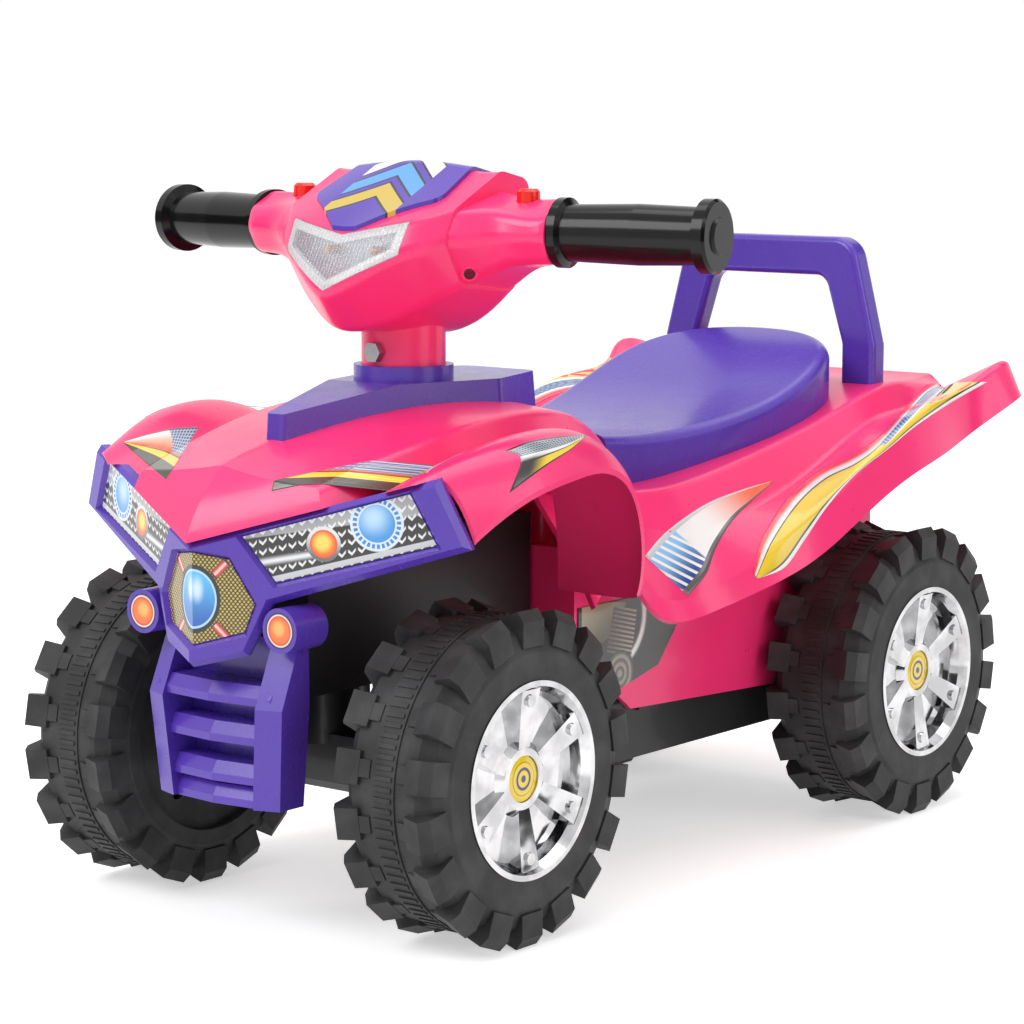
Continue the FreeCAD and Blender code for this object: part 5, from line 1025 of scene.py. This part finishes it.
class QUAD_OT_mouldings(bpy.types.Operator):
    """Pink, purple and black mouldings"""

    bl_idname = "quad.mouldings"
    bl_label = "Mouldings"

    def execute(self, context):
        colours = context.scene.quad_colours
        moulded("pink_moulding", colours.pink, 0.3).on(
            "lower_body", "rear_body_shell", "hood_shell", "handlebar_lower_shell", "handlebar_upper_shell")
        moulded("purple_moulding", colours.purple, 0.27).on(
            "column_cover", "front_mask", "bumper_grille", "seat", "push_handle", "battery_cover")
        cap_print("cap_print", colours).on("handlebar_top_cap")
        moulded("black_moulding", colours.black, 0.42, 0.00006).on("chassis", "axle_carrier", "speaker")
        return {"FINISHED"}


class QUAD_OT_wheels(bpy.types.Operator):
    """Tyres, chromed hub caps and centre caps"""

    bl_idname = "quad.wheels"
    bl_label = "Wheels"

    def execute(self, context):
        colours = context.scene.quad_colours
        tyre = blown("blown_tyre", colours.tyre)
        chrome = metallised("hub_chrome", colours.chrome, 0.06)
        yellow = capped("yellow_cap", colours)
        for corner in CORNERS:
            tyre.on(f"wheel_outer_half_{corner}", f"wheel_inner_half_{corner}")
            chrome.on(f"hub_cap_{corner}")
            yellow.on(f"centre_cap_{corner}")
        tree, sockets = rung_tree(tyre.material)
        for corner in CORNERS:
            tread_rungs(corner, tree, sockets, context.scene.quad_details, tyre.material)
        return {"FINISHED"}


class QUAD_OT_hardware(bpy.types.Operator):
    """Axles, nuts, screws, linkage, grips, buttons and the sound unit"""

    bl_idname = "quad.hardware"
    bl_label = "Hardware"

    def execute(self, context):
        colours = context.scene.quad_colours
        plated("zinc_plate", (0.42, 0.42, 0.43)).on(
            "front_axle", "rear_axle", "front_axle_nuts", "rear_axle_nuts", "body_screws", "steering_shaft",
            "carrier_arm", "drag_link", "column_bolt", "handlebar_tube")
        moulded("white_bush", (0.8, 0.8, 0.78), 0.45).on("steering_bush")
        moulded("grip_vinyl", shade(colours.black, 0.4), 0.16, gloss=0.22).on("grip_left", "grip_right")
        moulded("button_red", colours.red, 0.25).on("button_left", "button_right")
        moulded("board_green", (0.03, 0.22, 0.08), 0.5).on("circuit_board")
        moulded("cell_sleeve", (0.1, 0.1, 0.11), 0.4).on("batteries")
        return {"FINISHED"}


class QUAD_OT_lamps(bpy.types.Operator):
    """Lens, reflector, lamps and printed panels"""

    bl_idname = "quad.lamps"
    bl_label = "Lamps and prints"

    def execute(self, context):
        colours = context.scene.quad_colours
        metallised("reflector_chrome", (0.9, 0.94, 0.98), 0.4).on("headlamp_reflector")
        moulded("amber_lamp", (0.95, 0.4, 0.03), 0.2).on("lamp_leds")
        ribbed_lens("clear_lens").on("headlamp_lens")
        fog_print("fog_print", colours).on("fog_lamp_lenses")
        for side, sign in SIDES:
            lamp_print(f"lamp_print_{side}", sign, colours).on(f"headlight_panel_{side}")
        emblem_print("emblem_print", colours).on("emblem_panel")
        engine_print("engine_print").on("engine_panel_left", "engine_panel_right")
        return {"FINISHED"}


class QUAD_OT_stickers(bpy.types.Operator):
    """Striped stickers on the fenders, the tail and the skirts"""

    bl_idname = "quad.stickers"
    bl_label = "Stickers"

    def execute(self, context):
        scene = context.scene
        colours = scene.quad_colours
        settings = (scene.quad_details, scene.quad_studio)
        rear = shell_tree(["rear_body_shell"])
        hood = shell_tree(["hood_shell"])
        sticker("tail_stickers", TAIL_LINES, rear, tail_film(colours), *settings, steps=(64, 16))
        sticker("skirt_stickers", SKIRT_LINES, rear, skirt_film(colours), *settings)
        sticker("front_stickers", FRONT_LINES, hood, front_flash(colours), *settings, steps=(96, 48))
        sticker("fender_stickers", FENDER_LINES, hood, rear_flash(colours), *settings)
        pod = shell_tree(["handlebar_lower_shell", "handlebar_upper_shell"])
        screw_recesses(pod, scene.quad_studio, recess_shade_finish(colours))
        return {"FINISHED"}


class QUAD_PT_sidebar(bpy.types.Panel):
    """Lists the steps and what a user would change"""

    bl_idname = "QUAD_PT_sidebar"
    bl_label = "Quad bike"
    bl_space_type = "VIEW_3D"
    bl_region_type = "UI"
    bl_category = "Quad Bike"

    def draw(self, context):
        for operator in OPERATORS:
            self.layout.operator(operator.bl_idname)
        for group in (context.scene.quad_colours, context.scene.quad_details, context.scene.quad_studio):
            column = self.layout.column()
            for name in group.bl_rna.properties.keys():
                if name not in ("rna_type", "name"):
                    column.prop(group, name)


GROUPS = (QuadColours, QuadDetails, QuadStudio)
OPERATORS = (QUAD_OT_stage, QUAD_OT_mouldings, QUAD_OT_wheels, QUAD_OT_hardware, QUAD_OT_lamps,
             QUAD_OT_stickers)


def register():
    for kind in (*GROUPS, *OPERATORS, QUAD_PT_sidebar):
        bpy.utils.register_class(kind)
    bpy.types.Scene.quad_colours = PointerProperty(type=QuadColours)
    bpy.types.Scene.quad_details = PointerProperty(type=QuadDetails)
    bpy.types.Scene.quad_studio = PointerProperty(type=QuadStudio)


def unregister():
    del bpy.types.Scene.quad_colours
    del bpy.types.Scene.quad_details
    del bpy.types.Scene.quad_studio
    for kind in reversed((*GROUPS, *OPERATORS, QUAD_PT_sidebar)):
        bpy.utils.unregister_class(kind)


def main():
    register()
    bpy.ops.quad.stage()
    bpy.ops.quad.mouldings()
    bpy.ops.quad.wheels()
    bpy.ops.quad.hardware()
    bpy.ops.quad.lamps()
    bpy.ops.quad.stickers()


if __name__ == "__main__":
    main()
